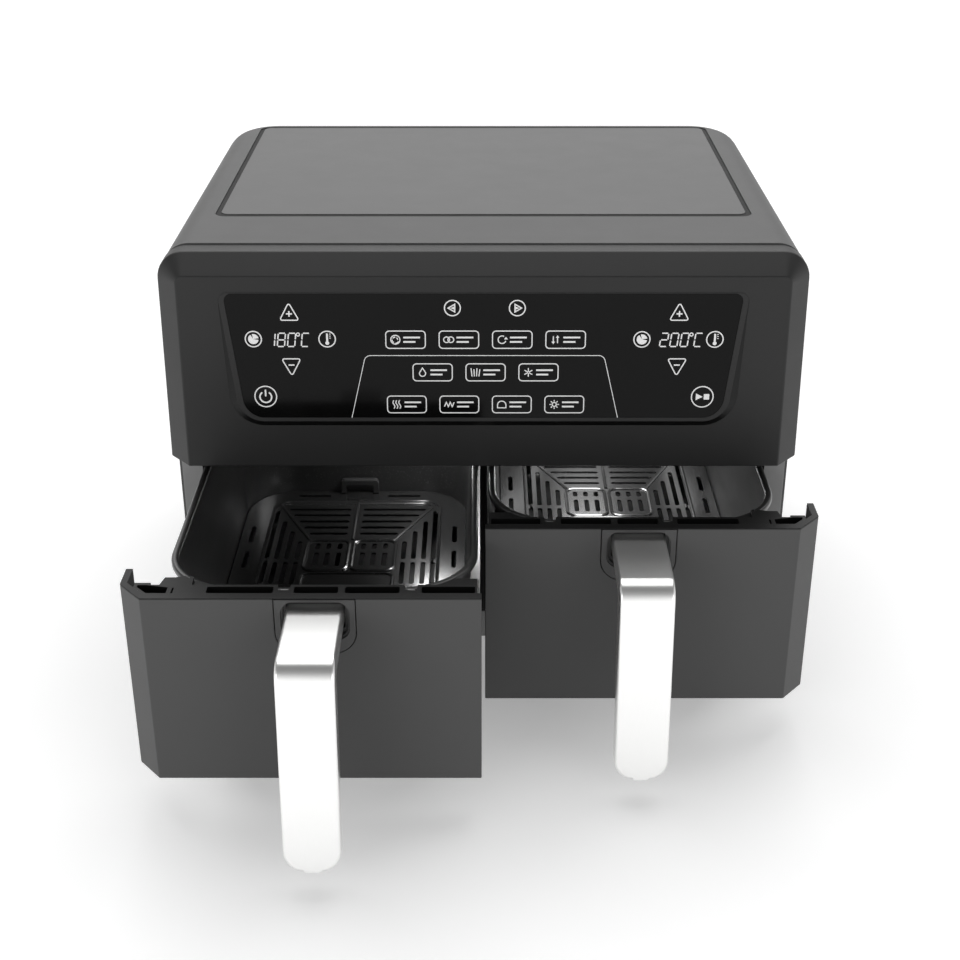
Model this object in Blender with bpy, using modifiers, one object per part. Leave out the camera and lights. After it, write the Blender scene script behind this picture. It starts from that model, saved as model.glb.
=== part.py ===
"""Two-drawer air fryer, modelled as separate parts.

Units are metres. The machine frame has x = 0 on the middle plane, y = 0 on the front of the control
face with +Y towards the back, and z = 0 on the seam between the control head and the drawers. Each
drawer has its own frame: y = 0 is the front of the drawer, x = 0 is the middle of its pan, and it
slides along Y. Everything hangs from one empty, which puts the floor at z = 0 in the world.
"""

import math

import bmesh
import bpy
from mathutils import Matrix, Vector

# Overall sizes
HEAD_WIDTH = 0.400
BODY_DEPTH = 0.335
HEAD_HEIGHT = 0.1374
DRAWER_HEIGHT = 0.120
UNDER_DRAWER = 0.028
SEAM_GAP = 0.002
LEFT_OPEN = 0.1597
RIGHT_OPEN = 0.0795

# Clearances
FIT = 0.0003
SLIDE = 0.001

# Control head
CHAMFER_SIDE = 0.0137
CHAMFER_DEPTH = 0.0157
CHAMFER_TOP = 0.0108
FASCIA_DEPTH = 0.029
FASCIA_WALL = 0.0025
FASCIA_STEP = 0.0009
HEAD_RADIUS = 0.017
FACE_RADIUS = 0.0045

# Glass panel: how far its top and bottom corners stay from the face's edge, and its heights
GLASS_TOP_INSET = 0.0308
GLASS_BOTTOM_INSET = 0.0393
GLASS_TOP_DROP = 0.0106
GLASS_BOTTOM = 0.0335
GLASS_CORNER = 0.010
BEZEL_RIM = 0.0045
BEZEL_CHIN = 0.0075
BEZEL_PROUD = 0.005
BEZEL_BACK = 0.0012
WINDOW_MARGIN = 0.012

# Housing
HOUSING_INSET = 0.003
HOUSING_WALL = 0.0025
REAR_RADIUS = 0.035
FOOT_HEIGHT = 0.010
FOOT_TAPER = 0.002
TOP_PLATE_INSET = 0.0251
TOP_PLATE_FRONT = 0.0911
TOP_PLATE_REAR = 0.0103
TOP_PLATE_THICK = 0.0011
TOP_PLATE_SINK = 0.0016
TOP_PLATE_GAP = 0.0015
TOP_PLATE_CORNER = 0.006
COVER_SIDE_MARGIN = 0.022
COVER_BOTTOM = -0.055
COVER_TOP_MARGIN = 0.0154
COVER_THICK = 0.0025
COVER_LAP = 0.008
VENT_COUNT = 9
VENT_WIDTH = 0.004
VENT_LENGTH = 0.050
VENT_INNER = 0.0274
VENT_MARGIN = 0.0206
INLET_RADIUS = 0.009
INLET_BORE = 0.0037
INLET_FLANGE = 0.014
INLET_PROUD = 0.008
INLET_SIDE = 0.042
INLET_LIFT = 0.050

# Base and feet
BASE_THICK = 0.003
BASE_GAP = 0.001
FOOT_RADIUS = 0.012
FOOT_INSET_X = 0.035
FOOT_INSET_Y = 0.045

# Front frame and centre post
FRAME_FRONT = 0.0215
FRAME_DEPTH = 0.0125
FRAME_BORDER = 0.007
FRAME_GAP = 0.002
POST_HALF = 0.0023

# Steel cavities above and around the pans
LINER_WALL = 0.0006
LINER_SPLIT = 0.0014
LINER_SIDE = 0.0125
LINER_REAR = 0.0115
LINER_CORNER = 0.030
FLOOR_SHEET = 0.0007

# Heater, guard, fans and motor of each zone, stacked from the guard up
COIL_RADIUS = 0.062
COIL_PITCH = 0.014
COIL_TURNS = 2.5
COIL_TUBE = 0.0033
COIL_GAP = 0.0065
COIL_ELBOW = 0.007
GUARD_MARGIN = 0.0105
GUARD_CORNER = 0.004
GUARD_THICK = 0.001
GUARD_HEIGHT = 0.003
GUARD_SLOTS = 9
GUARD_SLOT_WIDTH = 0.009
FAN_RADIUS = 0.055
FAN_GAP = 0.005
FAN_DEPTH = 0.012
FAN_BLADES = 8
MOTOR_RADIUS = 0.027
MOTOR_HEIGHT = 0.030
MOTOR_SHOULDER = 0.0054
SHAFT_RADIUS = 0.003
COOLER_RADIUS = 0.038
COOLER_DEPTH = 0.009
COOLER_BLADES = 7
BORE_PLAY = 0.0006

# Fan wheel proportions, as shares of its radius or of its depth
WHEEL_HUB = 0.25
WHEEL_DISC = 0.96
DISC_DEPTH = 0.2
BLADE_ROOT = 0.32
BLADE_RISE = 0.9

# Boards and sensors
BOARD_THICK = 0.0016
CONTROL_BOARD_BACK = 0.014
CONTROL_BOARD_INSET = 0.038
CONTROL_BOARD_MARGIN = 0.0116
DISPLAY_INSET = 0.0683
DISPLAY_RISE = 0.0105
DISPLAY_HALF = 0.022
DISPLAY_TALL = 0.009
DISPLAY_DEPTH = 0.008
POWER_SIDE = 0.00875
POWER_LENGTH = 0.110
POWER_LIFT = 0.006
POWER_POST = 0.004
POWER_POST_INSET = 0.006
BLOCK_HEIGHTS = (0.028, 0.018, 0.022)
BLOCK_GAP = 0.006
BLOCK_START = 0.022
BLOCK_LENGTH = 0.034
PROBE_RADIUS = 0.0025
PROBE_LENGTH = 0.030
PROBE_FLANGE = 0.007
SWITCH_WIDTH = 0.020
SWITCH_HEIGHT = 0.010
SWITCH_DEPTH = 0.0085

# Drawer front, its bracket and the pan
PANEL_THICK = 0.006
WING_THICK = 0.004
WING_GAP = 0.0016
DRAWER_SPLIT = 0.001
BRACKET_DROP = 0.002
BRACKET_WALL = 0.003
BRACKET_DEEP = 0.028
BRACKET_SIDE = 0.0165
EAR_DEPTH = 0.024
EAR_THICK = 0.0025
POCKET_FRONT = 0.0095
POCKET_BACK = 0.0160
POCKET_DEEP = 0.020
POCKET_LENGTHS = (30, 30, 24, 37)
POCKET_WEBS = (12, 4, 11)
POCKET_END = 0.0012
POCKET_OUTER_END = 0.030
PAN_SPLIT = 0.00325
PAN_SIDE = 0.01975
PAN_FRONT = 0.0190
PAN_REAR = 0.017
PAN_RIM_DROP = 0.008
PAN_RIM_WIDTH = 0.0047
PAN_RIM_HEIGHT = 0.004
PAN_WALL = 0.0011
PAN_DRAFT = 0.0038
PAN_LEDGE = 0.0045
PAN_CORNER = 0.045
PAN_LIFT = 0.005

# Crisper tray
TRAY_RISE = 0.0219
TRAY_THICK = 0.0013
TRAY_PLAY = 0.0012
TRAY_BORDER = 0.016
SLOT_WIDTH = 0.0034
SLOT_LENGTH = 0.040
SLOT_GAP = 0.009
SLOT_PITCH = 0.0075
SLOT_INSET = 0.006
SIDE_COLUMNS = 4
MIDDLE_HALF = 0.030
MIDDLE_COLUMNS = 2
MIDDLE_START = 0.012
MIDDLE_PITCH = 0.0105
END_ROWS = 3
BUMPER_HALF = 0.014
BUMPER_HEIGHT = 0.011
BUMPER_THICK = 0.005
BUMPER_SLOT_HALF = 0.0098
BUMPER_SLOT_HEIGHT = 0.0066

# Handle and its hub
HANDLE_REACH = 0.070
HANDLE_DROP = 0.131
HANDLE_LEAN = math.radians(6)
HANDLE_HALF = 0.0157
HANDLE_ROOT_DROP = 0.0083
HANDLE_ROOT_BACK = 0.009
HANDLE_BEND = 0.012
HANDLE_END_RADIUS = 0.012
STRAP_THICK = 0.0016
GRIP_THICK = 0.013
GRIP_BEND = 0.003
GRIP_INSET = 0.0008
HUB_SIDE = 0.0042
HUB_UNDER = 0.0095
HUB_CORNER = 0.013
RECESS_SIDE = 0.0021
RECESS_ABOVE = 0.0035
RECESS_BELOW = 0.0043
RECESS_CORNER = 0.006
RECESS_DEPTH = 0.0125
SCREW_RADIUS = 0.002
SCREW_HEAD = 0.004
SCREW_HEAD_DEPTH = 0.0024
SCREW_LENGTH = 0.014

# Places that follow from the sizes above
HEAD_HALF = HEAD_WIDTH / 2
DRAWER_BOTTOM = -(SEAM_GAP + DRAWER_HEIGHT)
FLOOR = DRAWER_BOTTOM - UNDER_DRAWER
HOUSING_HALF = HEAD_HALF - HOUSING_INSET
HOUSING_BOTTOM = FLOOR + FOOT_HEIGHT
BACK_INSIDE = BODY_DEPTH - HOUSING_WALL
LOWER_START = FRAME_FRONT + FRAME_DEPTH + FIT
WING_BACK = LOWER_START - WING_GAP
COVER_HALF = HOUSING_HALF - REAR_RADIUS - COVER_SIDE_MARGIN
COVER_TOP = HEAD_HEIGHT - HEAD_RADIUS - COVER_TOP_MARGIN
VENT_PITCH = (COVER_HALF - VENT_MARGIN - VENT_INNER - VENT_WIDTH) / (VENT_COUNT - 1)
INLET_X = HOUSING_HALF - REAR_RADIUS - INLET_SIDE
INLET_Z = HOUSING_BOTTOM + INLET_LIFT
FASCIA_TOP = HEAD_HEIGHT - FASCIA_STEP
FACE_TOP = FASCIA_TOP - CHAMFER_TOP
FACE_HALF = HEAD_HALF - CHAMFER_SIDE
GLASS_TOP = FACE_TOP - GLASS_TOP_DROP
GLASS_TOP_HALF = FACE_HALF - GLASS_TOP_INSET
GLASS_BOTTOM_HALF = FACE_HALF - GLASS_BOTTOM_INSET
DISPLAY_X = FACE_HALF - DISPLAY_INSET
DISPLAY_Z = (GLASS_TOP + GLASS_BOTTOM) / 2 + DISPLAY_RISE
PAN_HALF = (HEAD_HALF - PAN_SIDE - PAN_SPLIT) / 2
ZONE_X = PAN_SPLIT + PAN_HALF
PAN_BACK = BODY_DEPTH - PAN_REAR
PAN_MIDDLE = (PAN_FRONT + PAN_BACK) / 2
ZONE_Y = PAN_MIDDLE
POWER_HALF = ZONE_X - COOLER_RADIUS - POWER_SIDE
PAN_HALF_LENGTH = (PAN_BACK - PAN_FRONT) / 2
PAN_TOP = -PAN_RIM_DROP
PAN_BOTTOM = DRAWER_BOTTOM + PAN_LIFT
LEDGE_TOP = PAN_BOTTOM + PAN_WALL + TRAY_RISE
TRAY_BOTTOM = LEDGE_TOP + FIT
TRAY_TOP = TRAY_BOTTOM + TRAY_THICK
TRAY_SHRINK = PAN_RIM_WIDTH + PAN_DRAFT + TRAY_PLAY
GUARD_HALF = PAN_HALF - GUARD_MARGIN
COIL_HEIGHT = GUARD_HEIGHT + GUARD_THICK + COIL_GAP + COIL_TUBE
FAN_HEIGHT = COIL_HEIGHT + COIL_TUBE + FAN_GAP
LINER_TOP = FAN_HEIGHT + FAN_DEPTH + COIL_GAP + LINER_WALL
LINER_OUTER = HEAD_HALF - LINER_SIDE
LINER_FRONT = FRAME_FRONT + FRAME_DEPTH + FRAME_GAP
LINER_BACK = BODY_DEPTH - LINER_REAR
FLOOR_SHEET_TOP = PAN_BOTTOM - SLIDE
BRACKET_BACK = PAN_FRONT - 2 * FIT
HUB_DEPTH = BRACKET_BACK
RECESS_HALF = HANDLE_HALF + RECESS_SIDE
RECESS_TOP = HANDLE_ROOT_DROP - RECESS_ABOVE
RECESS_BOTTOM = HANDLE_ROOT_DROP + STRAP_THICK + GRIP_THICK + RECESS_BELOW
HUB_HALF = RECESS_HALF + HUB_SIDE
HUB_BOTTOM = RECESS_BOTTOM + HUB_UNDER
BRACKET_TOP = -SEAM_GAP - BRACKET_DROP
MACHINE_BACK = BODY_DEPTH + INLET_PROUD
WORLD_SHIFT = -(MACHINE_BACK - LEFT_OPEN - HANDLE_REACH) / 2

LEFT = -1
RIGHT = 1
SIDES = {"left": LEFT, "right": RIGHT}
OPEN = {"left": LEFT_OPEN, "right": RIGHT_OPEN}


# Scene, collections and materials


def clear_scene():
    for obj in list(bpy.data.objects):
        bpy.data.objects.remove(obj, do_unlink=True)


def collection(name):
    made = bpy.data.collections.new(name)
    bpy.context.scene.collection.children.link(made)
    return made


def empty(name, location, parent=None):
    made = bpy.data.objects.new(name, None)
    made.empty_display_size = 0.02
    made.location = location
    made.parent = parent
    PARTS.objects.link(made)
    return made


def material(name, colour, roughness, metallic=0.0):
    made = bpy.data.materials.new(name)
    made.use_nodes = True
    shader = made.node_tree.nodes["Principled BSDF"]
    shader.inputs["Base Color"].default_value = (*colour, 1.0)
    shader.inputs["Roughness"].default_value = roughness
    shader.inputs["Metallic"].default_value = metallic
    return made


# Modelling helpers


def finish_mesh(bm, name):
    bmesh.ops.recalc_face_normals(bm, faces=bm.faces)
    mesh = bpy.data.meshes.new(name)
    bm.to_mesh(mesh)
    bm.free()
    return mesh


def part(name, mesh, finish, frame, smooth=False):
    """A named part in the frame of an empty, with its material."""
    made = bpy.data.objects.new(name, mesh)
    made.parent = frame
    PARTS.objects.link(made)
    mesh.materials.append(finish)
    if smooth:
        mesh.shade_smooth()
        mesh.set_sharp_from_angle(angle=math.radians(35))
    return made


def cut(target, mesh, frame, operation="DIFFERENCE"):
    """Cuts a closed mesh out of a part, or joins it on."""
    tool = bpy.data.objects.new(mesh.name, mesh)
    tool.parent = frame
    tool.hide_render = True
    tool.display_type = "WIRE"
    CUTTERS.objects.link(tool)
    boolean = target.modifiers.new(mesh.name, "BOOLEAN")
    boolean.operation = operation
    boolean.solver = "EXACT"
    boolean.object = tool


def add_box(bm, low, high):
    low, high = Vector(low), Vector(high)
    place = Matrix.Translation((low + high) / 2) @ Matrix.Diagonal((high - low).to_4d())
    return bmesh.ops.create_cube(bm, size=1.0, matrix=place)


def box(name, low, high):
    bm = bmesh.new()
    add_box(bm, low, high)
    return finish_mesh(bm, name)


def boxes(name, corners):
    """Several separate boxes in one mesh, for a cutter."""
    bm = bmesh.new()
    for low, high in corners:
        add_box(bm, low, high)
    return finish_mesh(bm, name)


def span(side, near, far):
    """The two x limits of something between two distances from a middle plane, on one side of it."""
    return sorted((side * near, side * far))


def prism(name, outline, axis, low, high):
    """A flat outline pulled along an axis: the outline's two numbers are the other two axes in order."""
    bm = bmesh.new()
    others = [index for index in range(3) if index != axis]
    corners = []
    for point in outline:
        place = [0.0, 0.0, 0.0]
        place[axis] = low
        place[others[0]], place[others[1]] = point
        corners.append(bm.verts.new(place))
    face = bm.faces.new(corners)
    pulled = bmesh.ops.extrude_face_region(bm, geom=[face])["geom"]
    step = Vector((0.0, 0.0, 0.0))
    step[axis] = high - low
    moved = [item for item in pulled if isinstance(item, bmesh.types.BMVert)]
    bmesh.ops.translate(bm, vec=step, verts=moved)
    return finish_mesh(bm, name)


def loft(name, rings):
    """A closed body through rings of the same number of points, capped at both ends."""
    bm = bmesh.new()
    loops = [[bm.verts.new(point) for point in ring] for ring in rings]
    count = len(loops[0])
    for lower, upper in zip(loops, loops[1:]):
        for here in range(count):
            there = (here + 1) % count
            bm.faces.new((lower[here], lower[there], upper[there], upper[here]))
    bm.faces.new(reversed(loops[0]))
    bm.faces.new(loops[-1])
    return finish_mesh(bm, name)


def rounded(points, radii, steps=4):
    """A closed outline with each corner turned into an arc of its own radius."""
    outline = []
    count = len(points)
    for index, (point, radius) in enumerate(zip(points, radii)):
        corner = Vector(point)
        before = (Vector(points[index - 1]) - corner).normalized()
        after = (Vector(points[(index + 1) % count]) - corner).normalized()
        half = before.angle(after) / 2
        if radius <= 0:
            outline.append(tuple(corner))
            continue
        reach = radius / math.tan(half)
        centre = corner + (before + after).normalized() * radius / math.sin(half)
        start = corner + before * reach - centre
        turn = start.angle_signed(corner + after * reach - centre)
        for step in range(steps + 1):
            arm = Matrix.Rotation(-turn * step / steps, 2) @ start
            outline.append(tuple(centre + arm))
    return outline


def rectangle(half_x, half_y, radius, steps=4, centre=(0.0, 0.0)):
    corners = [
        (centre[0] + sx * half_x, centre[1] + sy * half_y)
        for sx, sy in ((-1, -1), (1, -1), (1, 1), (-1, 1))
    ]
    return rounded(corners, [radius] * 4, steps)


def add_cylinder(bm, radius, centre, low, high, axis=2, segments=24):
    turns = {0: Matrix.Rotation(math.pi / 2, 4, "Y"), 1: Matrix.Rotation(math.pi / 2, 4, "X")}
    place = [centre[0], centre[1]]
    place.insert(axis, (low + high) / 2)
    matrix = Matrix.Translation(place) @ turns.get(axis, Matrix.Identity(4))
    bmesh.ops.create_cone(
        bm,
        cap_ends=True,
        segments=segments,
        radius1=radius,
        radius2=radius,
        depth=high - low,
        matrix=matrix,
    )


def cylinder(name, radius, centre, low, high, axis=2, segments=24):
    bm = bmesh.new()
    add_cylinder(bm, radius, centre, low, high, axis, segments)
    return finish_mesh(bm, name)


def stack(name, levels, centre, axis=2, steps=24):
    """A solid of circles stacked along an axis, from (radius, height) levels."""
    rings = []
    for radius, height in levels:
        ring = []
        for step in range(steps):
            angle = 2 * math.pi * step / steps
            place = [centre[0] + radius * math.cos(angle), centre[1] + radius * math.sin(angle)]
            place.insert(axis, height)
            ring.append(place)
        rings.append(ring)
    return loft(name, rings)


# Housing, head and base


def housing_shell():
    """The housing's outer skin: a box with round rear and top edges, open at its front and bottom."""
    bm = bmesh.new()
    front = FASCIA_DEPTH + FIT
    low = (-HOUSING_HALF, front, HOUSING_BOTTOM)
    high = (HOUSING_HALF, BODY_DEPTH, HEAD_HEIGHT)
    add_box(bm, low, high)
    tiny = FIT / 3
    rear = [
        edge
        for edge in bm.edges
        if all(abs(v.co.y - BODY_DEPTH) < tiny for v in edge.verts)
        and abs(edge.verts[0].co.x - edge.verts[1].co.x) < tiny
    ]
    bmesh.ops.bevel(bm, geom=rear, offset=REAR_RADIUS, segments=6, profile=0.5, affect="EDGES")
    top = [
        edge
        for edge in bm.edges
        if all(abs(v.co.z - HEAD_HEIGHT) < tiny for v in edge.verts)
        and not all(abs(v.co.y - front) < tiny for v in edge.verts)
    ]
    bmesh.ops.bevel(bm, geom=top, offset=HEAD_RADIUS, segments=5, profile=0.5, affect="EDGES")
    bm.normal_update()
    open_faces = [
        face
        for face in bm.faces
        if face.normal.y < -0.99 or face.normal.z < -0.99
    ]
    bmesh.ops.delete(bm, geom=open_faces, context="FACES")
    mesh = bpy.data.meshes.new("outer_housing")
    bm.to_mesh(mesh)
    bm.free()
    return mesh


def outer_housing(frame):
    shell = part("outer_housing", housing_shell(), BODY_PLASTIC, frame, smooth=True)
    solid = shell.modifiers.new("wall", "SOLIDIFY")
    solid.thickness = HOUSING_WALL
    solid.offset = -1.0
    solid.use_even_offset = True
    solid.use_quality_normals = True
    beyond = 2 * HEAD_HALF
    below_head = box("lower_front_cut", (-beyond, -beyond, -beyond), (beyond, LOWER_START, 0.0))
    cut(shell, below_head, frame)
    cut(shell, top_plate_shape("top_recess", TOP_PLATE_GAP, -TOP_PLATE_SINK, HOUSING_WALL), frame)
    wall = (BACK_INSIDE - HOUSING_WALL, BODY_DEPTH + HOUSING_WALL)
    hole = rectangle_at(COVER_HALF - COVER_LAP, COVER_BOTTOM + COVER_LAP, COVER_TOP - COVER_LAP)
    cut(shell, prism("cover_hole", hole, 1, *wall), frame)
    inlet = (INLET_X, INLET_Z)
    cut(shell, cylinder("inlet_hole", INLET_RADIUS + FIT, inlet, *wall, axis=1), frame)


def rectangle_at(half, low, high, radius=0.006):
    return rectangle(half, (high - low) / 2, radius, steps=3, centre=(0.0, (low + high) / 2))


def top_plate_shape(name, grow, low, high):
    """The top plate's outline, grown by a gap, between two heights measured from the top face."""
    half = HOUSING_HALF - TOP_PLATE_INSET + grow
    front = TOP_PLATE_FRONT - grow
    back = BODY_DEPTH - TOP_PLATE_REAR + grow
    outline = rectangle(
        half,
        (back - front) / 2,
        TOP_PLATE_CORNER + grow,
        steps=3,
        centre=(0.0, (front + back) / 2),
    )
    return prism(name, outline, 2, HEAD_HEIGHT + low, HEAD_HEIGHT + high)


def top_plate(frame):
    low = FIT - TOP_PLATE_SINK
    part("top_plate", top_plate_shape("top_plate", 0.0, low, low + TOP_PLATE_THICK), TOP_METAL, frame)


def fascia(frame):
    """The chamfered control head cover: an open shell whose front ring is smaller than its back ring."""

    def ring(half, low, top, radius, depth):
        corners = [(-half, low), (half, low), (half, top), (-half, top)]
        outline = rounded(corners, [0, 0, radius, radius])
        return [(x, depth, z) for x, z in outline]

    outer = [
        ring(FACE_HALF, 0.0, FACE_TOP, FACE_RADIUS, 0.0),
        ring(HEAD_HALF, 0.0, FASCIA_TOP, HEAD_RADIUS, CHAMFER_DEPTH),
        ring(HEAD_HALF, 0.0, FASCIA_TOP, HEAD_RADIUS, FASCIA_DEPTH),
    ]
    wall = FASCIA_WALL
    inside = (HEAD_HALF - wall, wall, FASCIA_TOP - wall, HEAD_RADIUS - wall)
    inner = [
        ring(*inside, FASCIA_DEPTH),
        ring(*inside, CHAMFER_DEPTH + wall / 2),
        ring(FACE_HALF - wall / 2, wall, FACE_TOP - wall / 2, FACE_RADIUS, wall),
    ]
    cover = part("fascia", loft("fascia", outer + inner), HEAD_PLASTIC, frame)
    half = GLASS_BOTTOM_HALF - WINDOW_MARGIN
    window = rectangle_at(half, GLASS_BOTTOM + WINDOW_MARGIN, GLASS_TOP - WINDOW_MARGIN)
    cut(cover, prism("window", window, 1, -FASCIA_WALL, 2 * FASCIA_WALL), frame)


def glass_outline(grow, chin=0.0):
    corners = [
        (-GLASS_BOTTOM_HALF - grow, GLASS_BOTTOM - grow - chin),
        (GLASS_BOTTOM_HALF + grow, GLASS_BOTTOM - grow - chin),
        (GLASS_TOP_HALF + grow, GLASS_TOP + grow),
        (-GLASS_TOP_HALF - grow, GLASS_TOP + grow),
    ]
    foot = GLASS_CORNER + grow
    return rounded(corners, [foot, foot, foot / 2, foot / 2], 4)


def bezel_front(height):
    """How far the bezel stands out of the face: nothing at its top, all of it at its bottom."""
    low = GLASS_BOTTOM - BEZEL_RIM - BEZEL_CHIN
    share = (GLASS_TOP + BEZEL_RIM - height) / (GLASS_TOP + BEZEL_RIM - low)
    return -BEZEL_BACK - (BEZEL_PROUD - BEZEL_BACK) * share


def wedge(name, outline, back, front_lift):
    """A prism along Y whose front follows the bezel's slope."""
    rear = [(x, back(z), z) for x, z in outline]
    front = [(x, bezel_front(z) + front_lift, z) for x, z in outline]
    return loft(name, [rear, front])


def control_bezel(frame):
    outline = glass_outline(BEZEL_RIM, BEZEL_CHIN - BEZEL_RIM)
    bezel = part(
        "control_bezel",
        wedge("control_bezel", outline, lambda z: -FIT, 0.0),
        GLOSS_PLASTIC,
        frame,
    )
    cut(
        bezel,
        wedge("glass_pocket", glass_outline(FIT), lambda z: FASCIA_WALL, -FASCIA_WALL),
        frame,
    )


def control_glass(frame):
    outline = glass_outline(0.0)
    mesh = wedge("control_glass", outline, lambda z: -FIT, 0.0)
    part("control_glass", mesh, GLASS, frame)


def base_plate(frame):
    half = HOUSING_HALF - HOUSING_WALL - BASE_GAP
    front = LOWER_START + BASE_GAP
    back = BACK_INSIDE - BASE_GAP
    corners = [(-half, front), (half, front), (half, back), (-half, back)]
    corner = REAR_RADIUS - HOUSING_WALL
    outline = rounded(corners, [0, 0, corner, corner], 5)
    mesh = prism("base_plate", outline, 2, HOUSING_BOTTOM, HOUSING_BOTTOM + BASE_THICK)
    part("base_plate", mesh, BODY_PLASTIC, frame)


def feet(frame):
    places = {
        "front": LOWER_START + FOOT_INSET_Y - FOOT_RADIUS,
        "rear": BODY_DEPTH - FOOT_INSET_Y,
    }
    top = HOUSING_BOTTOM - FIT
    levels = [
        (FOOT_RADIUS - FOOT_TAPER, FLOOR),
        (FOOT_RADIUS, FLOOR + FOOT_TAPER),
        (FOOT_RADIUS, top),
    ]
    for side_name, side in SIDES.items():
        for end, y in places.items():
            name = f"{end}_{side_name}_foot"
            mesh = stack(name, levels, (side * (HOUSING_HALF - FOOT_INSET_X), y), steps=20)
            part(name, mesh, RUBBER, frame, smooth=True)


def rear_cover(frame):
    low = BODY_DEPTH + FIT
    outline = rectangle_at(COVER_HALF, COVER_BOTTOM, COVER_TOP)
    cover = part(
        "rear_cover",
        prism("rear_cover", outline, 1, low, low + COVER_THICK),
        BODY_PLASTIC,
        frame,
    )
    middle = (COVER_BOTTOM + COVER_TOP) / 2
    slots = []
    for side in SIDES.values():
        for index in range(VENT_COUNT):
            start = VENT_INNER + index * VENT_PITCH
            near, far = span(side, start, start + VENT_WIDTH)
            low_corner = (near, BODY_DEPTH - COVER_THICK, middle - VENT_LENGTH / 2)
            high_corner = (far, BODY_DEPTH + 3 * COVER_THICK, middle + VENT_LENGTH / 2)
            slots.append((low_corner, high_corner))
    cut(cover, boxes("rear_vents", slots), frame)


def cord_inlet(frame):
    """The bush that the mains lead would come out of: a flange, a neck through the wall and a bore."""
    levels = [
        (INLET_RADIUS, BACK_INSIDE - INLET_PROUD / 2),
        (INLET_RADIUS, BODY_DEPTH + FIT),
        (INLET_FLANGE, BODY_DEPTH + FIT),
        (INLET_FLANGE, BODY_DEPTH + INLET_PROUD / 2),
        (INLET_RADIUS, MACHINE_BACK),
    ]
    bush = part(
        "cord_inlet",
        stack("cord_inlet", levels, (INLET_X, INLET_Z), axis=1),
        RUBBER,
        frame,
        smooth=True,
    )
    bore = cylinder(
        "inlet_bore",
        INLET_BORE,
        (INLET_X, INLET_Z),
        BACK_INSIDE - INLET_PROUD,
        MACHINE_BACK + INLET_PROUD,
        axis=1,
        segments=16,
    )
    cut(bush, bore, frame)


# Front frame, cavities and what heats them


def front_frame(frame):
    half = HEAD_HALF - WING_THICK - 2 * FIT
    back = FRAME_FRONT + FRAME_DEPTH
    ring = part(
        "front_frame",
        box("front_frame", (-half, FRAME_FRONT, HOUSING_BOTTOM + FIT), (half, back, -2 * FIT)),
        FRAME_PLASTIC,
        frame,
    )
    inside = half - FRAME_BORDER
    opening = box(
        "frame_opening",
        (-inside, FRAME_FRONT - FRAME_DEPTH, FLOOR_SHEET_TOP - FLOOR_SHEET - SLIDE),
        (inside, back + FRAME_DEPTH, HEAD_HEIGHT),
    )
    cut(ring, opening, frame)


def centre_post(frame):
    low = FLOOR_SHEET_TOP - FLOOR_SHEET - SLIDE + FIT
    post = box(
        "centre_post",
        (-POST_HALF, FRAME_FRONT, low),
        (POST_HALF, FRAME_FRONT + FRAME_DEPTH, -FIT),
    )
    part("centre_post", post, DARK_PLASTIC, frame)


def cavity_floor(frame):
    """One steel sheet under both pans, with its edges turned down to the base plate."""
    low = HOUSING_BOTTOM + BASE_THICK + FIT

    def outline(shrink):
        half = LINER_OUTER - shrink
        front = LINER_FRONT + shrink
        back = LINER_BACK - shrink
        corner = LINER_CORNER - shrink
        corners = [(-half, front), (half, front), (half, back), (-half, back)]
        return rounded(corners, [0, 0, corner, corner])

    sheet = prism("cavity_floor", outline(0.0), 2, low, FLOOR_SHEET_TOP)
    hollow = prism(
        "floor_hollow",
        outline(FLOOR_SHEET),
        2,
        low - FLOOR_SHEET,
        FLOOR_SHEET_TOP - FLOOR_SHEET,
    )
    cut(part("cavity_floor", sheet, STEEL_SHEET, frame), hollow, frame)


def cavity_liner(side_name, side, frame):
    """A steel box round one pan, open at its bottom and, below the seam, at its front."""
    low = FLOOR_SHEET_TOP + FIT

    def outline(shrink):
        near = side * (LINER_SPLIT + shrink)
        far = side * (LINER_OUTER - shrink)
        front = LINER_FRONT + shrink
        back = LINER_BACK - shrink
        corners = [(near, front), (far, front), (far, back), (near, back)]
        return rounded(corners, [0, 0, LINER_CORNER - shrink, 0])

    name = f"{side_name}_cavity_liner"
    liner = part(name, prism(name, outline(0.0), 2, low, LINER_TOP), STEEL_SHEET, frame)
    room = prism(
        f"{side_name}_liner_room",
        outline(LINER_WALL),
        2,
        low - LINER_WALL,
        LINER_TOP - LINER_WALL,
    )
    cut(liner, room, frame)
    near, far = span(side, LINER_SPLIT + LINER_WALL, LINER_OUTER - LINER_WALL)
    mouth = (
        (near, LINER_FRONT - LINER_WALL, low - LINER_WALL),
        (far, LINER_FRONT + 2 * LINER_WALL, -FIT),
    )
    cut(liner, box(f"{side_name}_liner_mouth", *mouth), frame)
    centre = (side * ZONE_X, ZONE_Y)
    hole = SHAFT_RADIUS + BORE_PLAY
    ceiling = (LINER_TOP - 3 * LINER_WALL, LINER_TOP + LINER_WALL)
    cut(liner, cylinder(f"{side_name}_shaft_hole", hole, centre, *ceiling, segments=16), frame)
    probe_hole = cylinder(
        f"{side_name}_probe_hole",
        PROBE_RADIUS + FIT,
        (side * ZONE_X, COIL_HEIGHT),
        LINER_BACK - 3 * LINER_WALL,
        LINER_BACK + LINER_WALL,
        axis=1,
        segments=12,
    )
    cut(liner, probe_hole, frame)


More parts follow.
